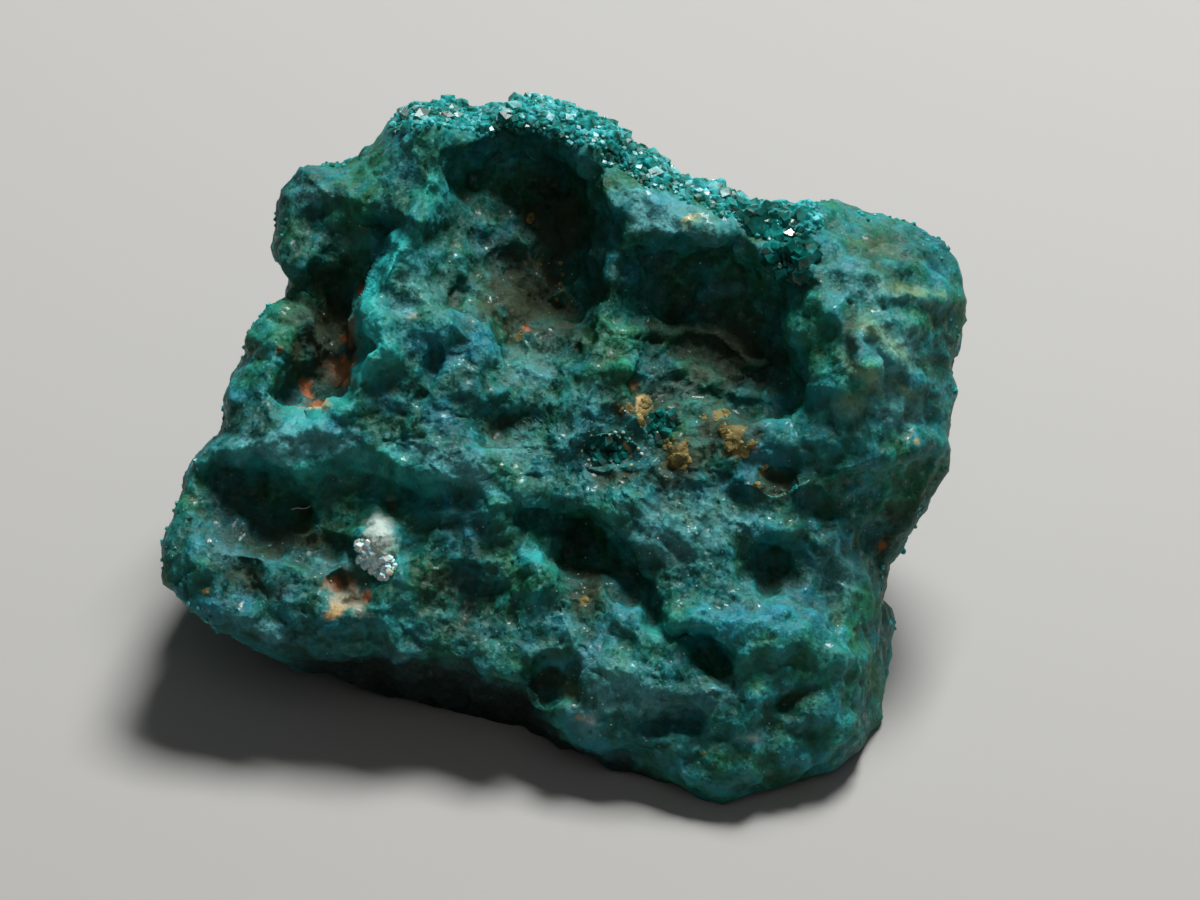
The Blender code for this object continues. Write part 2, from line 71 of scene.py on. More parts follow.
# Flat breaks behind and below: the way each faces in the room, and its distance from the stone's middle.
MIDDLE = np.array([-0.5, 2.5, 6.5])
BREAKS = [
    ((0.0, 0.0, -1.0), 6.8),  # underneath, which the resting face trims
    ((-0.80, 0.10, -0.60), 12.7),  # below the left lobe
    ((-0.62, 0.78, 0.05), 12.9),
    ((0.28, 0.93, 0.24), 12.3),
    ((0.72, 0.62, -0.30), 12.6),
    ((0.05, 0.80, -0.60), 9.6),
    ((0.85, 0.25, -0.46), 12.8),
]

# Hollows: across, up, half length, half width, turn in degrees, depth, fade. A fade of 1 is a round bowl with
# a sharp edge, and more is a dip whose edge fades out.
HOLLOWS = [
    (-2.0, 8.1, 4.8, 4.4, 60.0, 2.3, 1.5),  # the big bowl under the top edge
    (-1.2, 4.6, 3.5, 2.8, 90.0, 1.3, 1.6),  # its mouth, running down the face
    (-9.6, 4.5, 4.4, 2.2, 72.0, 1.4, 1.6),  # the long rusty hollow on the left
    (5.8, 4.3, 5.2, 4.0, -12.0, 1.2, 1.5),  # the broad dished face on the right
    (-2.4, 1.0, 2.1, 1.3, 0.0, 0.6, 1.7),  # pit above the middle ridge
    (-6.7, 0.5, 1.2, 1.1, 0.0, 0.6, 1.8),
    (0.6, -4.2, 2.1, 1.5, -38.0, 1.3, 1.6),  # the deep hole below the middle
    (2.8, -5.7, 2.0, 1.0, -42.0, 0.6, 1.8),
    (-13.4, -2.4, 2.6, 1.9, -15.0, 1.0, 1.6),  # the left lobe's hollows
    (-10.4, -3.2, 2.4, 2.0, 0.0, 1.0, 1.7),
    (-12.5, -5.6, 1.8, 1.2, -25.0, 0.8, 1.6),
    (-8.8, -5.7, 1.4, 1.2, 0.0, 0.5, 1.6),
    (-3.3, -6.0, 2.6, 1.5, -10.0, 0.7, 1.8),  # green dip above the lower edge
    (8.8, -5.2, 2.6, 1.8, -20.0, 0.8, 1.9),  # the lower right's hollows
    (10.6, -6.4, 1.4, 1.8, 0.0, 0.5, 1.8),
    (5.6, -8.3, 2.3, 1.0, -40.0, 0.8, 1.7),
    (8.9, -10.1, 2.0, 1.2, 25.0, 0.6, 1.8),
    (11.4, -9.6, 1.3, 1.5, 0.0, 0.5, 1.8),
    (3.9, -10.9, 2.3, 1.0, -12.0, 0.6, 1.8),
    (-0.5, -9.2, 1.6, 1.3, -30.0, 1.1, 1.3),
    (14.1, 1.3, 0.9, 0.8, 0.0, 0.8, 1.4),  # pits on the right lobe
    (12.8, -3.7, 0.9, 1.1, 0.0, 1.1, 1.2),
    (3.8, 1.1, 0.9, 0.7, 0.0, 0.8, 1.3),  # the two crystal-lined pockets
    (1.9, -0.1, 1.0, 0.6, -10.0, 0.6, 1.3),
    (8.2, -1.1, 0.7, 0.7, 0.0, 0.6, 1.2),
    (-10.2, 9.2, 1.6, 1.1, 30.0, 0.6, 1.6),  # dips in the left shoulder
    (-4.4, 3.6, 1.3, 1.0, 20.0, 0.5, 1.6),
    (-4.4, 6.1, 1.5, 1.1, -20.0, 0.7, 1.6),  # the plateau's own dips
    (-5.4, 3.4, 1.6, 0.5, 80.0, 0.5, 1.4),
]

# Swellings, in the same order, without a fade.
SWELLINGS = [
    (11.7, 4.2, 3.6, 5.6, 8.0, 1.9),  # the right lobe
    (8.2, -8.2, 3.8, 3.6, 10.0, 0.8),  # the bright swelling at the lower right
    (4.2, 9.5, 3.2, 1.8, -25.0, 0.8),  # the frosted shelf right of the bowl
    (-5.6, 4.2, 2.3, 3.2, -10.0, 1.0),  # the plateau right of the rusty hollow
    (-4.8, -0.4, 2.8, 1.3, -15.0, 1.0),  # the pale middle ridge
    (-11.4, 0.7, 2.8, 0.9, 5.0, 0.7),  # the brow over the left lobe
    (4.2, -3.0, 2.0, 1.3, 0.0, 0.5),
    (3.2, -7.0, 1.0, 2.0, 20.0, 0.6),
    (-9.4, -1.9, 1.0, 1.8, 10.0, 0.4),
    (-7.4, -3.6, 0.8, 1.4, 8.0, 0.6),  # the white patch
]

# Ridges: height, half width, and the line they follow as (across, up).
RIDGES = [
    (0.7, 0.8, [(-6.0, 9.4), (-7.0, 7.6), (-7.5, 6.0), (-7.5, 4.0), (-8.6, 2.2), (-9.9, 1.5)]),
    (0.7, 0.7, [(-5.2, 12.2), (-5.4, 10.6), (-6.0, 9.4)]),
    (0.7, 0.6, [(-2.2, -2.9), (-1.2, -4.1), (-0.8, -5.4)]),
    (0.6, 0.5, [(12.3, 5.0), (13.6, 3.6), (15.2, 2.4)]),
    (0.6, 0.4, [(12.9, 6.2), (14.3, 6.0), (15.6, 5.8)]),
    (0.6, 0.5, [(7.2, -1.2), (10.5, -1.3), (13.0, -0.3), (15.5, 0.3)]),
    (0.5, 0.5, [(9.4, 7.9), (10.2, 6.0), (11.6, 4.9), (12.0, 3.0)]),
    (0.45, 0.6, [(2.4, -6.9), (3.7, -6.4), (5.0, -6.6), (7.4, -7.7), (9.6, -7.6)]),
    (0.4, 0.5, [(5.4, -9.9), (7.0, -8.9), (7.6, -10.8)]),
    (0.35, 0.35, [(2.6, 4.8), (5.2, 4.9), (8.0, 3.4)]),  # layers showing in the dished face
    (0.3, 0.3, [(2.2, 3.0), (4.8, 3.3), (7.8, 1.8)]),
]

# Creases, past which the face falls away: across, up, the way down in degrees, slope, half span.
CREASES = [
    (13.4, -0.4, 283.0, 0.6, 2.6),  # the dark facet at the lower right
    (-10.6, 8.0, 150.0, 0.35, 3.5),  # the left shoulder
    (10.8, -10.6, 300.0, 0.35, 3.5),  # the bottom corner
]

# The crease along the bottom of the face, below which the stone falls away towards its resting face.
LOWER_EDGE = [
    (-12.3, -8.2), (-11.4, -8.2), (-7.1, -7.7), (-3.7, -8.2), (-1.8, -9.1), (-1.2, -10.2), (0.0, -11.1),
    (2.3, -11.6), (4.0, -12.9), (6.3, -14.0),
]
LOWER_SLOPE = 1.6

# Cliffs, the steep sides of the hollows: drop, width of the edge, how far the floor stays low, and the line
# they follow as (across, up), walked with the low side on the right.
CLIFFS = [
    (2.4, 1.2, 2.8, [
        (-5.4, 11.2), (-2.8, 12.6), (-0.5, 12.2), (0.9, 11.3), (1.6, 9.7), (1.7, 8.2), (1.3, 5.9), (0.6, 4.2),
    ]),
    (1.8, 1.0, 4.4, [(1.6, 8.0), (4.5, 8.3), (6.9, 8.3), (8.2, 6.8), (9.2, 4.8), (10.0, 2.8), (9.4, 0.0)]),
    (2.1, 0.7, 2.4, [
        (-6.3, 9.6), (-7.3, 7.6), (-7.9, 6.1), (-7.9, 4.0), (-8.9, 2.3), (-10.4, 1.4), (-12.2, 2.2),
    ]),
    (1.3, 1.4, 2.0, [(-3.0, -2.2), (-0.2, -2.3), (1.8, -3.1), (3.4, -5.1), (4.5, -7.4)]),
    (1.1, 1.3, 3.4, [(-14.8, -0.2), (-11.1, -1.3), (-9.1, -0.9), (-7.3, -0.7), (-5.9, -1.5), (-4.4, -2.5)]),
    (0.8, 1.3, 2.6, [(9.0, -1.4), (10.9, -0.9), (13.0, -0.1), (16.0, 0.6)]),
    (0.6, 1.0, 1.4, [(2.6, -8.6), (3.6, -7.2), (5.1, -7.0), (6.7, -8.0), (8.0, -9.6)]),
    (0.6, 1.7, 2.0, [(6.1, -5.2), (8.0, -3.7), (10.1, -3.8), (11.9, -5.6)]),
    (0.4, 1.2, 1.5, [(7.2, -9.9), (9.3, -8.7), (12.0, -8.9)]),
    (0.5, 1.2, 1.5, [(1.6, -11.2), (3.4, -10.0), (5.3, -10.3), (6.9, -12.0)]),
    (0.4, 1.3, 1.6, [(-5.0, 1.0), (-3.2, 2.1), (-1.7, 1.9), (0.1, 0.6)]),
    (0.2, 0.8, 1.0, [(12.6, 1.4), (14.0, 2.3), (15.4, 1.4)]),
]
CLIFF_END = 1.4  # how far from each end of its line a cliff takes to reach its full drop

FACE_FALL = 0.22  # how far the face falls back for each millimetre up it
FACE_PROUD = 1.4  # how far its middle stands out of the rim's plane
RIM_POWER = 9.0  # how close to the rim the face turns over

# Roughness, as height and size: the shift that bends every outline on the face, the lumps, the cups that meet
# in ridges, and the shift that bends those cups. It is calmer at the rim: by how much, and how near.
WANDER = [(0.50, 2.4), (0.16, 0.9)]
LUMPS = [(0.30, 2.8), (0.16, 1.1)]
CUPS = [(0.60, 2.3), (0.20, 1.1)]
CUP_MIDDLE = 0.3
CUP_BEND = (0.5, 1.7)
RIM_CALM = (0.3, 0.12)


def cell_pick(cell, table):
    """The row of a random table that belongs to each unit cell, found by mixing its three whole numbers."""
    return table[(cell[:, 0] * 73856093 ^ cell[:, 1] * 19349663 ^ cell[:, 2] * 83492791) % len(table)]


def noise(points, seed):
    """Smooth noise in about -1 to 1: random slopes at the corners of unit cells, which meet by the blend
    t^3 (6 t^2 - 15 t + 10)."""
    slopes = np.random.default_rng(seed).normal(size=(4096, 3))
    slopes /= np.linalg.norm(slopes, axis=1)[:, None]
    cell = np.floor(points).astype(np.int64)
    inside = points - cell
    blend = inside**3 * (inside * (6.0 * inside - 15.0) + 10.0)
    total = np.zeros(len(points))
    for corner in np.ndindex(2, 2, 2):
        weight = np.where(corner, blend, 1.0 - blend).prod(axis=1)
        total += weight * (cell_pick(cell + corner, slopes) * (inside - corner)).sum(axis=1)
    return total * 1.5


def from_spots(points, spots):
    """Each unit cell round the points in turn, and how far they are from its random spot."""
    home = np.floor(points).astype(np.int64)
    for step in np.ndindex(3, 3, 3):
        cell = home + np.array(step) - 1
        yield cell, points - cell - cell_pick(cell, spots)


def scallops(points, seed):
    """Shallow cups that meet in sharp ridges: the squared distance to the nearest of the random spots, one in
    each unit cell."""
    spots = np.random.default_rng(seed).uniform(size=(4096, 3))
    nearest = np.full(len(points), np.inf)
    for cell, away in from_spots(points, spots):
        nearest = np.minimum(nearest, (away**2).sum(axis=1))
    return nearest


def from_middle(x, y, across, up, turn):
    """How far each place is from (across, up), along the way turned by so many degrees and square to it."""
    angle = math.radians(turn)
    along = (x - across) * math.cos(angle) + (y - up) * math.sin(angle)
    beside = (y - up) * math.cos(angle) - (x - across) * math.sin(angle)
    return along, beside


def turned(x, y, across, up, half_length, half_width, turn=0):
    """The distance from an oval's middle, as a share of its radius in that direction."""
    along, beside = from_middle(x, y, across, up, turn)
    return np.hypot(along / half_length, beside / half_width)


def past_line(x, y, line):
    """How far past a line of straight pieces each place is, above 0 on its right-hand side, and how far its
    nearest point on the line is from the nearer end."""
    nearest = np.full(x.shape, np.inf)
    side = np.zeros(x.shape)
    along = np.zeros(x.shape)
    walked = 0.0
    for (x0, y0), (x1, y1) in zip(line[:-1], line[1:]):
        length = math.hypot(x1 - x0, y1 - y0)
        way_x, way_y = (x1 - x0) / length, (y1 - y0) / length
        run = np.clip((x - x0) * way_x + (y - y0) * way_y, 0.0, length)
        distance = np.hypot(x - x0 - run * way_x, y - y0 - run * way_y)
        right = (x - x0) * way_y - (y - y0) * way_x
        same = np.abs(distance - nearest) < 1e-9  # at a bend, the piece that it is more to one side of tells
        closer = (distance < nearest) & ~same | same & (np.abs(right) > np.abs(side))
        nearest = np.where(closer, distance, nearest)
        side = np.where(closer, right, side)
        along = np.where(closer, walked + run, along)
        walked += length
    return np.copysign(nearest, side), np.minimum(along, walked - along)


def smooth_step(t):
    """0 below 0 and 1 above 1, by t^2 (3 - 2 t) between."""
    t = np.clip(t, 0.0, 1.0)
    return t * t * (3.0 - 2.0 * t)


def wandered(x, y):
    """Where broad and small noise carry each place of the face, so that no outline on it looks drawn."""
    place = np.stack([x, y, np.zeros_like(x)], axis=1)
    for order, (shift, size) in enumerate(WANDER):
        x = x + shift * noise(place / size, SEED + 1 + 11 * order)
        y = y + shift * noise(place / size, SEED + 2 + 11 * order)
    return x, y


def lower_edge(x):
    """How far up the face's lower edge runs at each x, and minus infinity past its ends."""
    across, up = np.array(LOWER_EDGE).T
    return np.interp(x, across, up, left=-np.inf, right=-np.inf)


def face_height(x, y):
    """How far the broad face stands out of its plane at (x, y)."""
    x, y = wandered(x, y)
    height = FACE_PROUD - FACE_FALL * y
    for across, up, half_length, half_width, turn, rise in SWELLINGS:
        height = height + rise * np.exp(-turned(x, y, across, up, half_length, half_width, turn) ** 2)
    for rise, half_width, line in RIDGES:
        height = height + rise * np.exp(-((past_line(x, y, line)[0] / half_width) ** 2))
    for across, up, half_length, half_width, turn, depth, fade in HOLLOWS:
        share = turned(x, y, across, up, half_length, half_width, turn)
        height = height - depth * np.clip(1.0 - share**2, 0.0, 1.0) ** fade
    for across, up, way, slope, half_span in CREASES:
        past, aside = from_middle(x, y, across, up, way)
        height = height - slope * np.clip(past, 0.0, None) * np.exp(-((aside / half_span) ** 4))
    for drop, edge, reach, line in CLIFFS:
        past, from_end = past_line(x, y, line)
        floor = np.exp(-((np.clip(past, 0.0, None) / reach) ** 2))
        height = height - drop * smooth_step(from_end / CLIFF_END) * smooth_step(0.5 + past / edge) * floor
    return height - LOWER_SLOPE * np.clip(lower_edge(x) - y, 0.0, None)


def stone_places(directions):
    """Where each direction from the stone's middle meets its skin: across, up, out. The face is the half with
    out above 0, spread evenly over the rim by sqrt(2) sin(angle / 2). The back is a squared-off ellipsoid."""
    around = np.arctan2(directions[:, 1], directions[:, 0]) % (2.0 * math.pi)
    tilt = np.arccos(np.clip(directions[:, 2], -1.0, 1.0))
    rim = np.array(RIM)
    rim_around = np.arctan2(rim[:, 1], rim[:, 0]) % (2.0 * math.pi)
    order = np.argsort(rim_around)
    radius, out = (
        np.interp(around, rim_around[order], values[order], period=2.0 * math.pi)
        for values in (np.hypot(rim[:, 0], rim[:, 1]), rim[:, 2])
    )
    share = np.minimum(math.sqrt(2.0) * np.sin(tilt / 2.0), 1.0)
    turn_back = np.clip(tilt - math.pi / 2.0, 0.0, math.pi / 2.0)
    oval = 1.0 / np.hypot(np.cos(around) / BACK_RADII[0], np.sin(around) / BACK_RADII[1])
    radius = radius + (oval - radius) * smooth_step(np.sin(turn_back) / BACK_FADE)
    keep = np.cos(turn_back) ** BACK_SQUARENESS
    sink = np.sin(turn_back) ** BACK_SQUARENESS
    x = radius * np.cos(around) * share
    y = radius * np.sin(around) * share
    front = out + (face_height(x, y) - out) * np.sqrt(1.0 - share**RIM_POWER)
    middle_x, middle_y, middle_out = BACK_MIDDLE
    behind = tilt > math.pi / 2.0
    return np.stack(
        [
            np.where(behind, middle_x + (x - middle_x) * keep, x),
            np.where(behind, middle_y + (y - middle_y) * keep, y),
            np.where(behind, out + (middle_out - out) * sink, front),
        ],
        axis=1,
    )


def broken_off(places):
    """Draws in whatever lies past a flat break, along its line to the stone's middle."""
    spoke = places - MIDDLE
    share = np.ones(len(places))
    for way, distance in BREAKS:
        reach = spoke @ (np.array(way) / np.linalg.norm(way))
        share = np.minimum(share, distance / np.maximum(reach, distance))
    return MIDDLE + spoke * share[:, None]


def upright(places):
    """Turns (across, up, out) on the leaning face into room coordinates over the resting face."""
    x, up, out = places.T
    back = up * math.sin(FACE_LEAN) - out * math.cos(FACE_LEAN)
    height = up * math.cos(FACE_LEAN) + out * math.sin(FACE_LEAN) + REST_DEPTH
    return np.stack([x, back, height], axis=1)


def bent(places, bend, seed):
    """The places moved by noise, with the bend's shift and size."""
    shift, size = bend
    return places + shift * np.stack([noise(places / size, seed + axis) for axis in range(3)], axis=1)


def roughness(places, directions):
    """How far the lumps and cups move each place of the skin along its normal."""
    cup_places = bent(places, CUP_BEND, SEED + 3)
    height = np.zeros(len(places))
    for order, (rise, size) in enumerate(LUMPS):
        height += rise * noise(places / size, SEED + 6 + order)
    for order, (rise, size) in enumerate(CUPS):
        height += rise * (scallops(cup_places / size, SEED + 8 + order) - CUP_MIDDLE)
    calm, nearness = RIM_CALM
    return height * (1.0 - calm * np.exp(-((directions[:, 2] / nearness) ** 2)))


COLUMNS = 960  # around the face's middle
FRONT_ROWS = 200
BACK_ROWS = 110
SKIN_SHARE = 0.31  # of the faces, kept where the shape bends most

# The skin's fine relief, as height and size: the bend of its cups, the cups, the lumps and the facets. It is
# lower where the grid's rows stand further apart than the widest gap.
FINE_BEND = (0.12, 0.5)
FINE_CUPS = [(0.13, 0.62), (0.045, 0.3)]
FINE_LUMPS = [(0.07, 0.6), (0.03, 0.26)]
FINE_FACETS = [(0.07, 0.9), (0.035, 0.4)]
WIDEST_GAP = 0.14


def all_round(tilts, columns):
    """Directions at each tilt from the Z axis, in even steps round it, and the axis itself both ways."""
    tilt, around = np.meshgrid(tilts, 2.0 * math.pi * np.arange(columns) / columns, indexing="ij")
    ball = np.stack([np.sin(tilt) * np.cos(around), np.sin(tilt) * np.sin(around), np.cos(tilt)], axis=-1)
    return np.vstack([ball.reshape(-1, 3), (0.0, 0.0, 1.0), (0.0, 0.0, -1.0)])


def stone_tilts():
    """The tilt of each row from the face's middle to the hidden side's. On the face the rows are even in
    sqrt(2) sin(angle / 2), and behind it they are eased at both ends by t^2 (3 - 2 t)."""
    front = 2.0 * np.arcsin(np.linspace(0.0, 1.0, FRONT_ROWS + 1)[1:] / math.sqrt(2.0))
    behind = math.pi / 2.0 * (1.0 + smooth_step(np.linspace(0.0, 1.0, BACK_ROWS + 1)[1:-1]))
    return np.concatenate([front, behind])


def facets(points, seed):
    """Flat facets that meet in small steps: (place - spot) . lean, for the nearest of the random spots, of
    which each unit cell holds one, and that spot's own random lean."""
    chance = np.random.default_rng(seed)
    spots = chance.uniform(size=(4096, 3))
    leans = chance.uniform(-1.0, 1.0, size=(4096, 3))
    nearest = np.full(len(points), np.inf)
    height = np.zeros(len(points))
    for cell, away in from_spots(points, spots):
        distance = (away**2).sum(axis=1)
        height = np.where(distance < nearest, (away * cell_pick(cell, leans)).sum(axis=1), height)
        nearest = np.minimum(nearest, distance)
    return height


def grid_stretch(places):
    """How many times the widest gap the grid's rows stand apart at each point, and never under 1."""
    rows = places[:-2].reshape(-1, COLUMNS, 3)
    gap = np.linalg.norm(np.diff(rows, axis=0, append=rows[-1:]), axis=-1)
    gap = np.maximum(gap, np.roll(gap, 1, axis=0))
    return np.append(np.maximum(gap / WIDEST_GAP, 1.0).ravel(), (1.0, 1.0))


def capped_faces(rows, columns):
    """The faces, by kind, of a closed skin over rows of points that run round a middle line. The point that
    closes the first row and the one that closes the last follow the rows."""
    row, column = np.meshgrid(np.arange(rows - 1), np.arange(columns), indexing="ij")
    here = row * columns + column
    beside = row * columns + (column + 1) % columns
    quads = np.stack([here, here + columns, beside + columns, beside], axis=-1).reshape(-1, 4)
    ring = np.arange(columns)
    after = (ring + 1) % columns
    first_cap = rows * columns
    last = first_cap - columns
    top = np.stack([np.full(columns, first_cap), ring, after], axis=1)
    bottom = np.stack([last + ring, np.full(columns, first_cap + 1), last + after], axis=1)
    return quads, top, bottom


def new_mesh(name, points, kinds, count=1):
    """A mesh of count copies of a shape, from all their points and the first one's faces by kind."""
    starts = len(points) // count * np.arange(count)[:, None, None]
    faces = [face for kind in kinds for face in (kind + starts).reshape(-1, kind.shape[1]).tolist()]
    mesh = bpy.data.meshes.new(name)
    mesh.from_pydata(points.tolist(), [], faces)
    mesh.update()
    return mesh


def new_object(name, data):
    """An object of a mesh, a light or a camera, put in the scene."""
    made = bpy.data.objects.new(name, data)
    bpy.context.scene.collection.objects.link(made)
    return made


def in_metres(places):
    """Room places in millimetres as the scene's own, which start at the middle of the resting face."""
    return (places - BASE_CENTRE) * MILLIMETRE


def read_normals(mesh):
    """The mesh's normals, one row for each point."""
    values = np.empty(len(mesh.vertices) * 3)
    mesh.vertices.foreach_get("normal", values)
    return values.reshape(-1, 3)


directions = all_round(stone_tilts(), COLUMNS)
face_places = stone_places(directions)
room_places = broken_off(upright(face_places))
skin = new_mesh(STONE, room_places, capped_faces(FRONT_ROWS + BACK_ROWS - 1, COLUMNS))
coarse = roughness(room_places, directions)
fine_bent = bent(room_places, FINE_BEND, SEED + 20)
fine = np.zeros(len(room_places))
for order, (rise, size) in enumerate(FINE_CUPS):
    fine += rise * (scallops(fine_bent / size, SEED + 24 + 3 * order) - CUP_MIDDLE)
for order, (rise, size) in enumerate(FINE_LUMPS):
    fine += rise * noise(room_places / size, SEED + 25 + order)
for order, (rise, size) in enumerate(FINE_FACETS):
    fine += rise * facets(fine_bent / size, SEED + 28 + order)
fine /= grid_stretch(room_places)
room_places = room_places + read_normals(skin) * (coarse + fine)[:, None]
room_places[:, 2] = np.maximum(room_places[:, 2], 0.0)
skin.vertices.foreach_set("co", in_metres(room_places).ravel())
skin.update()
skin_normals = read_normals(skin)

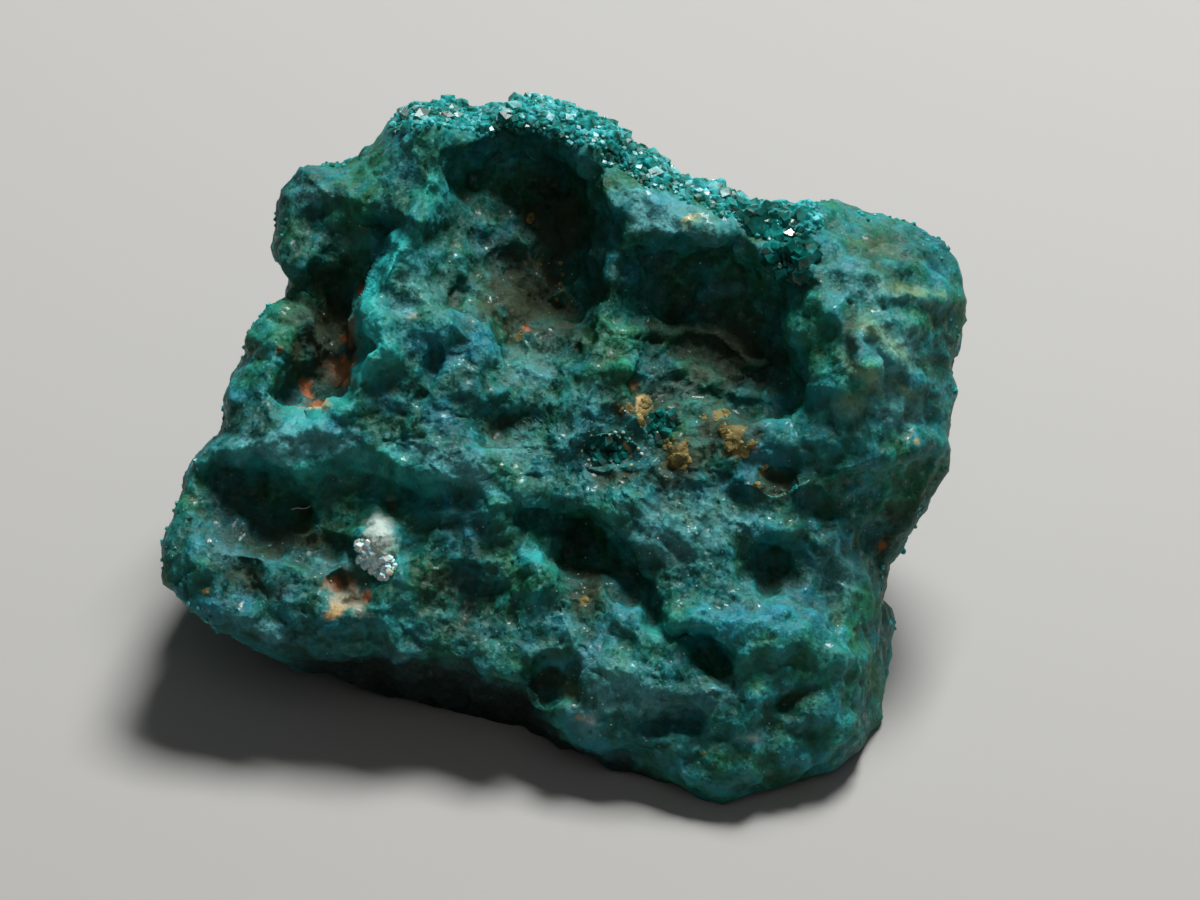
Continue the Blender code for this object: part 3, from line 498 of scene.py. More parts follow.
# Where the stone differs in colour, with some painted shade and painted light among the places. Each kind has
# its seed, how ragged and how soft its edges are, and its
# ovals: strength, across, up, half length, half width, and the turn in degrees where they are turned.
PLACES = {
    # Pale frosted patches of the stone. The ones on the brow over the left lobe and low on the right lobe
    # also lighten places that the light leaves in shade: painted light.
    "frosted": (30, 0.45, 0.6, [
        (0.9, 3.9, 9.5, 2.8, 1.2, -25), (0.7, -5.7, 6.6, 1.6, 1.2), (1.1, -6.3, 5.7, 0.6, 0.5),
        (1.0, -4.6, -0.5, 2.4, 0.9, -15), (0.7, -1.9, 0.0, 1.4, 0.8), (1.3, -11.1, 0.3, 3.0, 1.1, 5),
        (0.7, 4.6, -3.2, 3.2, 1.6), (0.5, -1.6, 3.4, 1.6, 1.2), (0.3, 11.1, 7.7, 1.8, 1.0),
        (0.9, 13.2, 1.7, 1.9, 0.9, -10), (0.8, 13.5, 6.1, 2.2, 0.35, -10), (1.0, 12.7, 2.4, 1.8, 0.4, -35),
        (1.0, 11.3, 1.6, 0.9, 0.5), (0.8, -11.9, -7.2, 2.4, 0.5, -20), (0.5, -13.6, -4.1, 1.6, 0.5),
        (0.5, 6.0, -9.6, 1.6, 0.8, 30), (1.3, 1.0, -10.7, 1.0, 0.5, -30), (1.1, 7.5, -11.4, 0.8, 0.4),
        (0.5, 6.5, 6.5, 1.2, 0.4), (0.7, -8.6, -0.2, 1.2, 0.6), (0.6, -10.2, 10.4, 1.4, 0.6),
        (0.9, 12.6, 4.0, 2.0, 0.3, -35), (0.8, 12.8, 4.2, 2.4, 1.6, -35), (1.1, 1.8, -9.4, 2.0, 1.2, -30),
        (0.9, 3.6, -10.0, 1.6, 1.0), (0.6, -9.2, -4.6, 1.4, 0.6), (0.8, 11.0, -4.8, 1.8, 1.3),
    ]),
    "blue": (32, 0.45, 1.2, [
        (1.0, 6.2, -7.2, 4.4, 2.0, 5), (1.0, -9.6, 0.6, 2.4, 1.2), (0.9, -1.4, -4.4, 1.2, 0.9, -30),
        (0.9, -7.3, 7.6, 0.7, 1.6, -20), (0.7, -3.0, 12.0, 2.2, 0.8), (1.0, 8.6, 8.4, 1.2, 1.0),
        (0.9, -9.3, -6.8, 1.6, 0.5, 20), (0.8, -7.4, 2.2, 1.2, 1.6), (0.6, -4.6, -2.0, 2.4, 0.8, -20),
        (0.5, -13.4, -1.4, 1.2, 0.8), (0.6, 15.0, 7.2, 0.8, 2.0), (0.6, 3.0, -9.6, 1.6, 0.8),
        (0.9, -6.4, -4.0, 0.5, 1.2), (0.7, 3.9, 9.6, 2.6, 1.2, -25), (0.8, 5.4, 7.2, 2.0, 0.8),
    ]),
    "green": (34, 0.45, 1.2, [
        (0.5, -10.8, 9.0, 1.8, 3.0, 20), (0.8, -12.8, 3.0, 1.6, 1.6), (0.9, -14.8, -0.6, 1.4, 2.0),
        (0.4, -4.5, 12.6, 2.5, 1.4), (0.8, 12.0, -6.0, 1.5, 4.5), (0.7, 2.2, 4.6, 1.0, 1.8),
        (0.8, -5.6, 10.2, 0.9, 1.2), (0.6, 10.4, 0.0, 1.6, 3.0), (0.9, 13.2, 1.6, 2.0, 1.0),
        (0.8, 14.0, -1.6, 1.8, 1.8),
    ]),
    "brown": (36, 0.45, 0.9, [
        (1.2, -1.4, 6.4, 2.9, 2.6), (0.8, -0.2, 9.0, 2.4, 2.2), (1.2, -9.6, 4.4, 3.0, 1.7, 76),
        (1.1, -8.7, -5.1, 1.2, 0.8), (1.0, 3.4, 1.6, 2.0, 1.0, -10), (1.2, 6.6, 0.8, 2.0, 1.5),
        (1.0, 12.9, -3.8, 0.8, 0.9), (0.5, 13.6, 1.4, 0.7, 0.7), (1.1, -0.6, -9.2, 1.2, 0.9),
        (0.7, -2.4, 1.0, 1.6, 0.9), (0.5, 13.2, 7.0, 0.8, 0.4, 20), (0.7, 6.4, 4.4, 3.4, 2.4),
        (0.8, -10.8, -3.6, 2.4, 1.6), (0.8, -12.2, -5.4, 2.0, 1.1, -25), (1.0, 0.8, -5.6, 1.0, 1.4, -20),
        (0.6, 9.2, -9.8, 1.4, 0.9), (0.4, 3.8, -11.0, 2.2, 0.8, -12), (0.7, 11.4, 4.6, 0.5, 1.8),
        (0.9, 8.4, -1.4, 1.6, 1.0), (0.9, 2.4, -1.0, 1.6, 0.6), (1.1, 4.6, -0.4, 1.8, 1.2),
        (0.8, -6.9, -2.3, 0.5, 0.3), (0.7, 14.2, -2.2, 1.4, 1.4),
    ]),
    "rust": (38, 0.55, 1.2, [
        (0.9, -8.3, 6.4, 0.3, 0.7), (1.1, -8.6, 4.6, 0.7, 1.2), (1.3, -9.0, 3.3, 1.0, 1.2, -20),
        (1.3, -10.4, 2.7, 0.5, 0.9), (0.9, -9.8, 1.9, 1.1, 0.5), (1.2, -11.5, 4.0, 0.2, 0.2),
        (1.2, -8.9, -5.5, 1.1, 0.7), (1.2, -7.9, -5.8, 0.45, 0.8, 20), (0.8, 11.9, 5.0, 0.2, 0.5),
        (0.8, 11.8, 4.0, 0.15, 0.6), (0.9, -1.6, 5.0, 0.5, 0.35), (1.0, 12.9, -3.9, 0.5, 0.5),
        (1.0, 5.6, -12.0, 0.15, 0.15), (0.9, 7.7, 0.0, 0.5, 0.6), (0.6, -2.2, 5.6, 0.3, 0.25),
        (1.2, 6.3, 0.95, 0.15, 0.15), (0.5, 2.9, 2.6, 0.8, 0.4),
    ]),
    "cream": (40, 0.6, 1.0, [
        (1.1, -10.1, 1.6, 1.2, 0.35, 5), (1.3, -9.1, -6.5, 1.1, 0.4, 15), (0.8, -3.6, 13.6, 0.5, 0.25),
        (1.0, 4.9, 9.2, 0.8, 0.14, 25), (0.9, 14.0, 0.3, 0.4, 0.25), (1.2, 2.4, 0.1, 0.12, 0.4, 35),
        (1.1, 3.1, 1.9, 0.35, 0.9, -10), (0.9, 6.9, -0.1, 0.4, 0.25, -40), (0.9, 0.6, -10.6, 0.5, 0.3, -20),
    ]),
    "ochre": (48, 0.6, 0.8, [
        (0.8, 3.2, 1.7, 0.5, 0.9, -10), (1.2, 4.5, -0.2, 0.7, 0.8), (1.2, 6.8, 0.3, 0.6, 0.9, -20),
        (1.0, 6.2, 1.5, 0.8, 0.25, 30), (1.3, -1.4, 9.5, 0.22, 0.22), (0.9, 0.7, -5.9, 0.4, 0.3),
        (0.8, -1.8, 4.6, 0.35, 0.25), (0.8, 7.9, -0.9, 0.4, 0.25), (0.8, 13.7, 0.5, 0.2, 0.3),
        (0.9, 2.6, 1.6, 0.35, 0.3), (0.35, -1.0, 7.2, 1.2, 1.6),
    ]),
    "white": (42, 0.3, 0.9, [
        (1.1, -7.35, -3.5, 0.95, 1.5, 8), (1.3, -7.5, -4.3, 0.8, 0.9), (0.7, 1.0, -10.7, 0.8, 0.4, -30),
        (0.7, 7.5, -11.4, 0.6, 0.3),
    ]),
    "chalk": (52, 0.4, 1.0, [
        (1.2, -8.8, -6.0, 1.4, 1.0), (0.9, -6.1, 5.3, 0.6, 0.5, 30), (0.45, -9.3, 3.3, 0.9, 1.2),
    ]),
    "lime": (54, 0.45, 1.2, [
        (0.25, 11.8, 6.6, 2.2, 1.2, -20), (1.1, 13.8, 6.4, 2.0, 0.5, -8), (0.9, 12.6, 4.6, 2.8, 0.5, -38),
        (0.9, 12.0, 3.0, 2.2, 0.4, -40), (0.8, 13.4, 2.6, 1.6, 0.4, -40), (0.9, 11.3, 1.8, 0.9, 0.7),
        (0.4, 13.0, 8.0, 1.8, 0.6, -25), (0.9, 5.1, 9.1, 0.9, 0.2, 25), (0.8, 0.3, -9.6, 0.8, 0.6),
    ]),
    # Darker, greener places in the hollows and over a few lit crests: partly the stone's deeper tone, partly
    # painted shade where the hollows lie in shadow.
    "deep": (44, 0.45, 1.2, [
        (1.0, -0.6, 9.4, 3.0, 3.2), (0.7, 0.2, 4.8, 1.8, 2.4), (1.0, 6.8, 3.6, 3.8, 2.8),
        (1.0, -10.0, 6.2, 2.0, 3.2, -15), (0.8, -11.0, 8.4, 1.6, 2.0), (0.7, -13.2, -2.2, 2.6, 2.0),
        (0.8, -10.0, -3.2, 2.2, 1.8), (0.9, -4.6, -5.6, 3.4, 1.8), (0.9, 0.6, -4.0, 2.2, 1.5, -38),
        (0.6, -2.4, 1.0, 1.8, 1.0), (0.8, 14.0, -3.0, 1.8, 3.0), (0.6, 8.8, -13.3, 4.5, 1.0, 10),
        (0.6, 8.6, -4.9, 1.7, 1.2, -20), (0.7, -6.6, 0.6, 0.9, 0.8), (0.2, 11.8, -9.0, 1.2, 3.0),
        (0.95, 4.6, 2.4, 3.6, 1.0), (0.8, 1.9, 6.2, 0.9, 2.4), (0.5, 5.6, -8.3, 1.8, 0.8, -40),
        (0.5, 8.9, -10.1, 1.5, 0.9, 25), (0.6, -4.4, 6.1, 1.2, 0.9, -20), (1.0, 7.9, -1.3, 0.6, 0.6),
        (0.6, 12.8, 7.9, 2.6, 1.6, -20), (0.5, 5.0, 0.7, 3.2, 1.5), (0.9, 4.2, 4.2, 2.4, 1.9, -10),
        (0.7, -1.4, 6.0, 2.4, 2.2), (0.8, -11.0, -8.2, 3.4, 0.7, -24), (0.9, 9.0, -1.3, 1.4, 0.9, 10),
    ]),
}
EDGE_GRAINS = [(0.9, 1.0), (0.35, 0.6)]  # of the ragged edges: size and share
FACE_EDGE = 0.1  # how near the rim, as the sine of the angle to it, the colours of the face fade

# Painted highlights: bright lips along edges where the light catches them, as the line, how wide and how
# bright. They fade at both ends, are broken up by noise in places, and are dim in a band across the face's
# middle.
EDGE_HIGHLIGHTS = [
    (CLIFFS[2][3], 0.55, 1.0),  # of the long rusty hollow
    (RIDGES[1][2], 0.45, 0.55),  # above it
    (RIDGES[2][2], 0.5, 0.45),  # beside the deep hole
    (CLIFFS[4][3], 0.8, 0.45),  # the brow over the left lobe
    (CLIFFS[6][3], 0.6, 0.35),  # of the swelling at the lower right
]
LIP_END = 1.8  # how far from each end of its line a lip is whole
LIP_CREST = 0.3  # how far past its line a lip ends
LIP_BREAKUP = (0.75, 0.8, 0.8)  # the mean left of it, and the change and the size of the noise that breaks it up
LIP_BAND = (1.0, 2.2, 1.6, 0.35)  # from and to how far up they are dim, how softly, and what is left of them
# Painted shade: below its lower edge the stone is darkened, because its underside lies in shadow.
UNDERSIDE_SHADE_FADE = 0.8  # over what height below the lower edge the stone gets dark

# The relief, the lumps and cups and the fine relief that count as fully high or low, for the colours. High is
# painted lighter and low darker: partly the stone's own deeper tone in its hollows, partly painted shade.
RELIEF_REACH = 2.5
CREST_REACH = 0.4
FINE_RELIEF_REACH = 0.08


def patches(ovals, seed, raggedness, softness):
    """How much each skin point lies in any of the ovals, whose edges noise makes ragged."""
    ragged = np.zeros(len(face_x))
    for order, (size, share) in enumerate(EDGE_GRAINS):
        ragged += raggedness * share * noise(room_places / size, seed + order)
    most = np.zeros(len(face_x))
    for strength, *oval in ovals:
        inside = 1.0 - turned(face_x, face_y, *oval) + ragged
        most = np.maximum(most, strength * smooth_step(inside / softness))
    return most * on_face


face_x, face_y = face_places[:, 0], face_places[:, 1]
on_face = smooth_step(directions[:, 2] / FACE_EDGE)
relief = face_height(face_x, face_y) - (FACE_PROUD - FACE_FALL * face_y)
relief = np.where(directions[:, 2] > 0.0, relief, 0.0)
drawn_x, drawn_y = wandered(face_x, face_y)
breakup_mean, breakup_change, breakup_size = LIP_BREAKUP
breakup = np.clip(breakup_mean + breakup_change * noise(room_places / breakup_size, SEED + 46), 0.0, 1.0)
edge_highlights = np.zeros(len(face_x))
for line, width, share in EDGE_HIGHLIGHTS:
    past, from_end = past_line(drawn_x, drawn_y, line)
    lit = np.exp(-(((past + 0.4 * width) / width) ** 2)) * smooth_step(1.0 - past / LIP_CREST)
    edge_highlights = np.maximum(edge_highlights, lit * share * smooth_step(from_end / LIP_END) * breakup * on_face)
band_low, band_high, band_fade, band_left = LIP_BAND
shown = smooth_step((face_y - band_high) / band_fade) + smooth_step((band_low - face_y) / band_fade)
edge_highlights *= band_left + (1.0 - band_left) * shown
# Painted shade of the underside, below the lower edge.
underside_shade = smooth_step((lower_edge(face_x) - face_y) / UNDERSIDE_SHADE_FADE)
marks = {
    "relief": np.clip(relief / RELIEF_REACH, -1.0, 1.0),
    "crest": coarse / CREST_REACH,
    "fine_relief_shade": np.clip(fine / FINE_RELIEF_REACH, -1.0, 1.0),
    "ridge": edge_highlights,
    # painted shade on the underside
    "under": underside_shade * smooth_step(directions[:, 2] / FACE_EDGE + 1.0),
}
for kind, (seed, raggedness, softness, ovals) in PLACES.items():
    marks[kind] = patches(ovals, SEED + seed, raggedness, softness)
for name, amount in marks.items():
    skin.attributes.new(name, "FLOAT", "POINT").data.foreach_set("value", amount.astype(np.float32))
skin.shade_smooth()
stone = new_object(STONE, skin)
thin = stone.modifiers.new("thin", "DECIMATE")
thin.ratio = SKIN_SHARE


class Shade:
    """A shader value. Sums on it, with values or numbers, add Math nodes, and node() adds any other node."""

    def __init__(self, tree, socket=None):
        self.tree = tree
        self.socket = socket

    def fill(self, node, sockets):
        """Gives each input of a node its value, or a link to it."""
        for socket, value in sockets.items():
            if isinstance(value, Shade):
                self.tree.links.new(value.socket, node.inputs[socket])
            else:
                node.inputs[socket].default_value = value

    def paint(self, sockets):
        """Gives the inputs of the material's own shader their values, or links to them."""
        self.fill(self.tree.nodes["Principled BSDF"], sockets)

    def node(self, kind, sockets, output=0, **settings):
        """The output of a new shader node of that kind. Its settings are made before its sockets."""
        made = self.tree.nodes.new("ShaderNode" + kind)
        for setting, value in settings.items():
            setattr(made, setting, value)
        self.fill(made, sockets)
        return Shade(self.tree, made.outputs[output])

    def maths(self, operation, first, second, clamp=False):
        return self.node("Math", {0: first, 1: second}, operation=operation, use_clamp=clamp)

    def __add__(self, other):
        return self.maths("ADD", self, other)

    def __sub__(self, other):
        return self.maths("SUBTRACT", self, other)

    def __rsub__(self, other):
        return self.maths("SUBTRACT", other, self)

    def __mul__(self, other):
        return self.maths("MULTIPLY", self, other)

    __radd__ = __add__
    __rmul__ = __mul__

    def kept(self):
        """The value, held between 0 and 1."""
        return self.maths("ADD", self, 0.0, clamp=True)

    def step(self, start, end):
        """0 up to start and 1 from end, by t^2 (3 - 2 t) between."""
        sockets = {"Value": self, "From Min": start, "From Max": end}
        return self.node("MapRange", sockets, interpolation_type="SMOOTHSTEP")

    def ramp(self, *stops):
        """The colour of the value, between stops of place and colour."""
        ramp = self.node("ValToRGB", {"Fac": self})
        elements = ramp.socket.node.color_ramp.elements
        for index, (place, colour) in enumerate(stops):
            stop = elements[index] if index < len(elements) else elements.new(place)
            stop.position = place
            stop.color = colour
        return ramp

    def here(self):
        """The place on the piece."""
        return self.node("TexCoord", {}, output="Object")

    def cloud(self, size, detail=3.0):
        """Soft noise from 0 to 1, whose lumps are about size millimetres."""
        sockets = {"Vector": self.here(), "Scale": 1.0 / (size * MILLIMETRE)}
        return self.node("TexNoise", sockets | {"Detail": detail, "Roughness": 0.55})

    def cells(self, size, output):
        """What each cell of about size millimetres holds: its Color, its Position, or its Distance away."""
        sockets = {"Vector": self.here(), "Scale": 1.0 / (size * MILLIMETRE)}
        return self.node("TexVoronoi", sockets, output=output)

    def under(self, share, colour, way="MIX"):
        """The colour over this one, by share."""
        settings = {"data_type": "RGBA", "blend_type": way}
        return self.node("Mix", {0: share, 6: self, 7: colour}, output=2, **settings)


def linear(red, green, blue):
    """A display colour of 0 to 255 as the light that it stands for, by the 2.2 power."""
    return (*(np.array([red, green, blue]) / 255.0) ** 2.2, 1.0)


def new_finish(name):
    """A Principled material, and a Shade on its nodes."""
    material = bpy.data.materials.new(name)
    material.use_nodes = True
    return material, Shade(material.node_tree)


def grain_facets(shade, size):
    """A height that makes each grain a flat facet tilted its own way: the dot product of
    (place - grain's middle) and (its random colour - 0.5)."""
    place_and_middle = {0: shade.here(), 1: shade.cells(size, "Position")}
    spoke = shade.node("VectorMath", place_and_middle, operation="SUBTRACT")
    tint_and_grey = {0: shade.cells(size, "Color"), 1: (0.5, 0.5, 0.5)}
    lean = shade.node("VectorMath", tint_and_grey, operation="SUBTRACT")
    return shade.node("VectorMath", {0: spoke, 1: lean}, output="Value", operation="DOT_PRODUCT")


# Films of earth over the stone's colour, in the order they lie: which mark, the least of it and its gain
# from the mottle, where the film starts and is whole, how much it covers, and its colour.
FILMS = [
    ("brown", 0.4, 1.1, 0.05, 0.95, 0.8, linear(50, 56, 34)),
    ("ochre", 0.3, 1.4, 0.3, 0.9, 0.85, linear(130, 114, 62)),
    ("rust", 0.3, 1.4, 0.2, 1.0, 0.8, linear(172, 98, 50)),
    ("chalk", 0.5, 1.0, 0.1, 1.0, 0.75, linear(170, 160, 134)),
    ("cream", 0.3, 1.4, 0.2, 1.0, 0.85, linear(198, 166, 112)),
]
GREEN_GLOW = (0.2, 1.0, 0.9)  # how far red, green and blue light travel inside the mineral
SPECK_GAP = 0.26

dioptase, shade = new_finish("massive_dioptase")
mark = {name: shade.node("Attribute", {}, output="Fac", attribute_name=name) for name in marks}
broad, patchy, drift = (shade.cloud(size) for size in (3.0, 1.3, 1.0))
mottle, dust = (shade.cloud(size, detail=2.0) for size in (0.45, 0.14))
# Lightness of the stone: lighter on raised parts and darker in hollows and pits, partly painted shade, with
# random tone and the colour marks.
high = 0.46 + 0.12 * mark["relief"] + 0.14 * mark["crest"] + 0.12 * mark["fine_relief_shade"]
high = high + 0.7 * (patchy - 0.5) + 0.3 * (mottle - 0.5) + 0.25 * (dust - 0.5)
high = (high + 0.12 * mark["blue"] + 0.1 * mark["green"] - 0.42 * mark["deep"]).kept()
body = high.ramp(
    (0.0, linear(9, 50, 39)),
    (0.35, linear(12, 93, 81)),
    (0.65, linear(18, 135, 131)),
    (1.0, linear(44, 171, 177)),
)
cold = 0.5 + 2.2 * (broad - 0.5) + 2.0 * (patchy - 0.5) + 0.5 * mark["blue"]
cold = (cold - 0.45 * mark["green"] - 0.3 * mark["deep"] - 0.2 * mark["lime"]).kept()
tint = cold.ramp(
    (0.0, (0.72, 0.92, 0.50, 1.0)), (0.5, (0.86, 0.90, 0.93, 1.0)), (1.0, (0.62, 0.74, 1.0, 1.0))
)
body = body.under(1.0, tint, way="MULTIPLY")
# Pale frost, more of it on lumps and fine crests: partly the stone's frosting, partly painted light on raised
# parts.
bloom_and_light = 0.25 + 0.15 * mark["crest"] + 0.2 * mark["fine_relief_shade"] + 1.1 * (drift - 0.5) + 0.5 * (mottle - 0.5)
frost = (0.9 * mark["frosted"] + 0.6 * bloom_and_light - 0.5 * mark["deep"]).step(0.0, 1.2)
frost = frost * (0.9 * mottle + 0.9 * dust - 0.3).kept()
body = body.under(frost, linear(88, 158, 162))
body = body.under((mark["lime"] * (0.3 + 1.2 * patchy)).kept() * 0.7, linear(134, 158, 110))
dull = 0.1 + 2.6 * (drift - 0.5) + 0.4 * mark["brown"] + 0.2 * mark["deep"]
dull = (dull - 0.5 * mark["blue"] - 0.4 * mark["green"]).kept()
body = body.under(dull * 0.4, linear(52, 76, 62))
# Painted highlight: bright cyan along the lit edges of the hollows, ridges and brow.
body = body.under(mark["ridge"] * 0.85, linear(44, 194, 190))
for name, least, gain, start, whole, cover, colour in FILMS:
    film = (mark[name] * (least + gain * mottle)).step(start, whole)
    body = body.under(film * cover, colour)
snow = (mark["white"] * (0.4 + 1.2 * drift)).step(0.1, 1.1)
body = body.under(snow * 0.9, linear(188, 204, 194))
# Pale specks, kept out of the hollows: partly pale grains of the stone, partly painted glints.
luck = shade.node("SeparateXYZ", {0: shade.cells(SPECK_GAP, "Color")})
glint_speck = (0.2 - shade.cells(SPECK_GAP, "Distance")).step(0.0, 0.12)
sparse = (luck * patchy).step(0.38, 0.44) * (1.0 - mark["deep"]).kept()
body = body.under(glint_speck * sparse * 0.45, linear(170, 206, 196))
# Painted shade: the underside below the lower edge, near black green.
body = body.under(mark["under"] * 0.9, linear(3, 20, 18))
grains = grain_facets(shade, 0.16) + 0.6 * grain_facets(shade, 0.4)
sugar = 0.5 * grains + 0.00004 * dust
shade.paint({
    "Base Color": body,
    "Roughness": (0.45 + 0.35 * mottle + 0.2 * mark["brown"]).kept(),
    "IOR": 1.55,
    "Specular IOR Level": 0.3,
    "Coat Weight": (0.4 * luck.step(0.75, 1.0) * (1.0 - mark["deep"])).kept(),
    "Coat Roughness": 0.2,
    "Subsurface Weight": 0.4,
    "Subsurface Radius": GREEN_GLOW,
    "Subsurface Scale": 0.6 * MILLIMETRE,
    "Normal": shade.node("Bump", {"Strength": 1.0, "Distance": 1.0, "Height": sugar}),
})
skin.materials.append(dioptase)
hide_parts("dioptase_stone")
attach(stone, "root")

# ---- The druse along the top edge ----
# Small six-sided dioptase crystals, glassy and see-through, grown in a crust on the stone's top edge where
# the vein was open. They stand close together and lean every way, with blunt three-sided tips. A few more
# stand along the rest of the rim.
CRYSTAL_LINE = [
    (-6.0, 13.4), (-4.6, 13.6), (-1.2, 13.8), (0.6, 13.2), (2.6, 12.2), (4.8, 10.9), (7.4, 9.7), (9.5, 9.2),
]
CRYSTAL_REACH = 0.85  # to each side of that line, on average
CRUST_RAGGED = (1.3, 0.5)  # the size of the steps in the crust's edge, and their share of its reach
CRUST_BACK = (5.6, 1.6)  # how far behind the face's plane it runs, and by how much that varies
CRUST_TURN = -0.5  # how far round the back it runs, as the sine of the angle past the rim
RIM_WIDTH = 0.06  # of the bare rim's few crystals, as the sine of the angle to it
RIM_NOISE = 0.2  # they stand where the noise is over this
RIM_LOWEST = -8.0  # how far down they stand
CRUST_TAPER = (1.15, 0.55)  # the crystals' width on that line, and how much less it is at the crust's edge
RIM_SHARE = 0.5  # of that width, on the bare rim
CHUNKY = (0.7, 1.6)  # the few large crystals: how far out they stand, and how much wider they are
SHOULDER_STEP = 0.5  # how far every second corner is raised, and how far out the tip is, in radii
TIP_RISE = 0.85


def spread_out(chosen, gap, most, seed):
    """Indexes of skin points among the chosen, in random order, none nearer than gap to another."""
    order = np.random.default_rng(seed).permutation(np.flatnonzero(chosen))
    kept = np.empty((0, 3))
    picks = []
    for index in order:
        if len(picks) == most:
            break
        if len(kept) == 0 or ((kept - room_places[index]) ** 2).sum(axis=1).min() > gap**2:
            kept = np.vstack([kept, room_places[index]])
            picks.append(index)
    return np.array(picks)


def turned_sides(axis, chance):
    """Two directions square to each axis and to each other, turned round it at random."""
    side = np.cross(axis, chance.normal(size=axis.shape))
    side /= np.linalg.norm(side, axis=1)[:, None]
    return side, np.cross(axis, side)


def crystal_heap(name, picks, seed, radius, slimness, lean, sink, share=1.0):
    """Six-sided prisms with three-sided tips on the picked skin points. Each runs from below the skin along
    the normal plus a random lean. The rings of six are at the shoulder, where every second edge is raised,
    and at the foot, and the tip is one point. Sizes in millimetres, times share."""
    chance = np.random.default_rng(seed)
    count = len(picks)
    axis = skin_normals[picks] + lean * chance.normal(size=(count, 3))
    axis /= np.linalg.norm(axis, axis=1)[:, None]
    side, other = turned_sides(axis, chance)
    size = chance.uniform(*radius, count) * share
    length = size * chance.uniform(*slimness, count)
    angle = np.arange(6) * math.pi / 3.0
    round_it = side[:, None] * np.cos(angle)[:, None] + other[:, None] * np.sin(angle)[:, None]
    foot = room_places[picks] - axis * (sink * length)[:, None]
    low = foot[:, None] + round_it * size[:, None, None]
    rise = length[:, None] + SHOULDER_STEP * size[:, None] * (np.arange(6) % 2)
    high = low + axis[:, None] * rise[:, :, None]
    tip = foot + axis * (length + TIP_RISE * size)[:, None]
    points = np.concatenate([high, low, tip[:, None], foot[:, None]], axis=1).reshape(-1, 3)
    return new_object(name, new_mesh(name, in_metres(points), capped_faces(2, 6), count))


ragged_size, ragged_share = CRUST_RAGGED
ragged = noise(room_places / ragged_size, SEED + 58)
outward = np.abs(past_line(face_x, face_y, CRYSTAL_LINE)[0]) / (CRYSTAL_REACH * (1.0 + ragged_share * ragged))
back_reach, back_change = CRUST_BACK
crust = (outward < 1.0) & (directions[:, 2] > CRUST_TURN)
crust &= face_places[:, 2] > back_change * ragged - back_reach
bare_rim = (outward > 1.0) & (np.abs(directions[:, 2]) < RIM_WIDTH)
bare_rim &= (ragged > RIM_NOISE) & (face_y > RIM_LOWEST)
chunky_reach, chunky_width = CHUNKY
chunky_picks = spread_out(crust & (outward < chunky_reach), gap=0.55, most=220, seed=SEED + 49)
druse_picks = np.concatenate([
    chunky_picks,
    spread_out(crust, gap=0.18, most=2100, seed=SEED + 50),
    spread_out(bare_rim, gap=0.24, most=200, seed=SEED + 59),
])
widest, narrowing = CRUST_TAPER
taper = np.where(outward[druse_picks] < 1.0, widest - narrowing * outward[druse_picks], RIM_SHARE)
taper[: len(chunky_picks)] *= chunky_width
druse = crystal_heap(
    "top_edge_druse", druse_picks, SEED + 51,
    radius=(0.09, 0.26), slimness=(0.6, 1.2), lean=0.6, sink=0.85, share=taper,
)
glassy, shade = new_finish("glassy_dioptase")
veil = 0.5 * shade.cloud(1.4) + 0.5 * shade.cloud(0.35)
shade.paint({
    "Base Color": veil.ramp(
        (0.36, linear(4, 70, 56)),
        (0.45, linear(8, 110, 98)),
        (0.53, linear(16, 150, 150)),
        (0.62, linear(80, 200, 204)),
    ),
    "Roughness": 0.18 + 0.5 * shade.cloud(0.25),
    "IOR": 1.55,
    "Coat Weight": 0.1,
    "Coat Roughness": 0.15,
    "Transmission Weight": 0.15,
    "Subsurface Weight": 0.6,
    "Subsurface Radius": GREEN_GLOW,
    "Subsurface Scale": 0.5 * MILLIMETRE,
})
druse.data.materials.append(glassy)
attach(druse, "root")

# ---- Crystals in the pockets and on the right-hand slope ----
# Clear, deep green dioptase: larger crystals that grew free in two small pockets near the middle of the face
# and in the gap where the top edge dips. They are grown from the stone like the druse.
POCKETS = [(3.95, 1.05, 0.6, 0.5), (1.7, -0.1, 0.6, 0.36, -10)]
SLOPE = [(8.2, 9.3, 1.5, 0.6, -10), (9.0, 7.8, 0.9, 1.0)]
INSIDE_RIM = 0.05  # how far inside the rim the small things on the face stay


def within(ovals):
    """Which skin points of the face lie in any oval of across, up, half length, half width and turn."""
    inside = np.zeros(len(face_x), bool)
    for oval in ovals:
        inside |= turned(face_x, face_y, *oval) < 1.0
    return inside & (directions[:, 2] > INSIDE_RIM)


pocket = crystal_heap(
    "pocket_crystals", spread_out(within(POCKETS), gap=0.24, most=45, seed=SEED + 52), SEED + 53,
    radius=(0.12, 0.34), slimness=(0.6, 1.1), lean=0.8, sink=0.8,
)
slope = crystal_heap(
    "slope_crystals", spread_out(within(SLOPE), gap=0.3, most=110, seed=SEED + 54), SEED + 55,
    radius=(0.18, 0.42), slimness=(0.5, 0.9), lean=0.7, sink=0.9,
)
clear, shade = new_finish("clear_dioptase")
shade.paint({
    "Base Color": shade.cloud(0.9).ramp(
        (0.36, linear(3, 70, 56)), (0.5, linear(8, 116, 108)), (0.64, linear(30, 170, 160))
    ),
    "Roughness": 0.03 + 0.3 * shade.cloud(0.2),
    "IOR": 1.6,
    "Transmission Weight": 0.45,
})
for crystals in (pocket, slope):
    crystals.data.materials.append(clear)
    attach(crystals, "root")

# ---- The white patch ----
# A clot of pale, part clear mineral, most likely quartz or calcite, set in the left lobe. It stands a little
# proud of the hollow around it and grew with the stone. Blocky crystals of it break through at its lower end.
WHITE_ENDS = [(-7.95, -4.2, 0.35, 0.5), (-7.3, -4.7, 0.5, 0.45)]

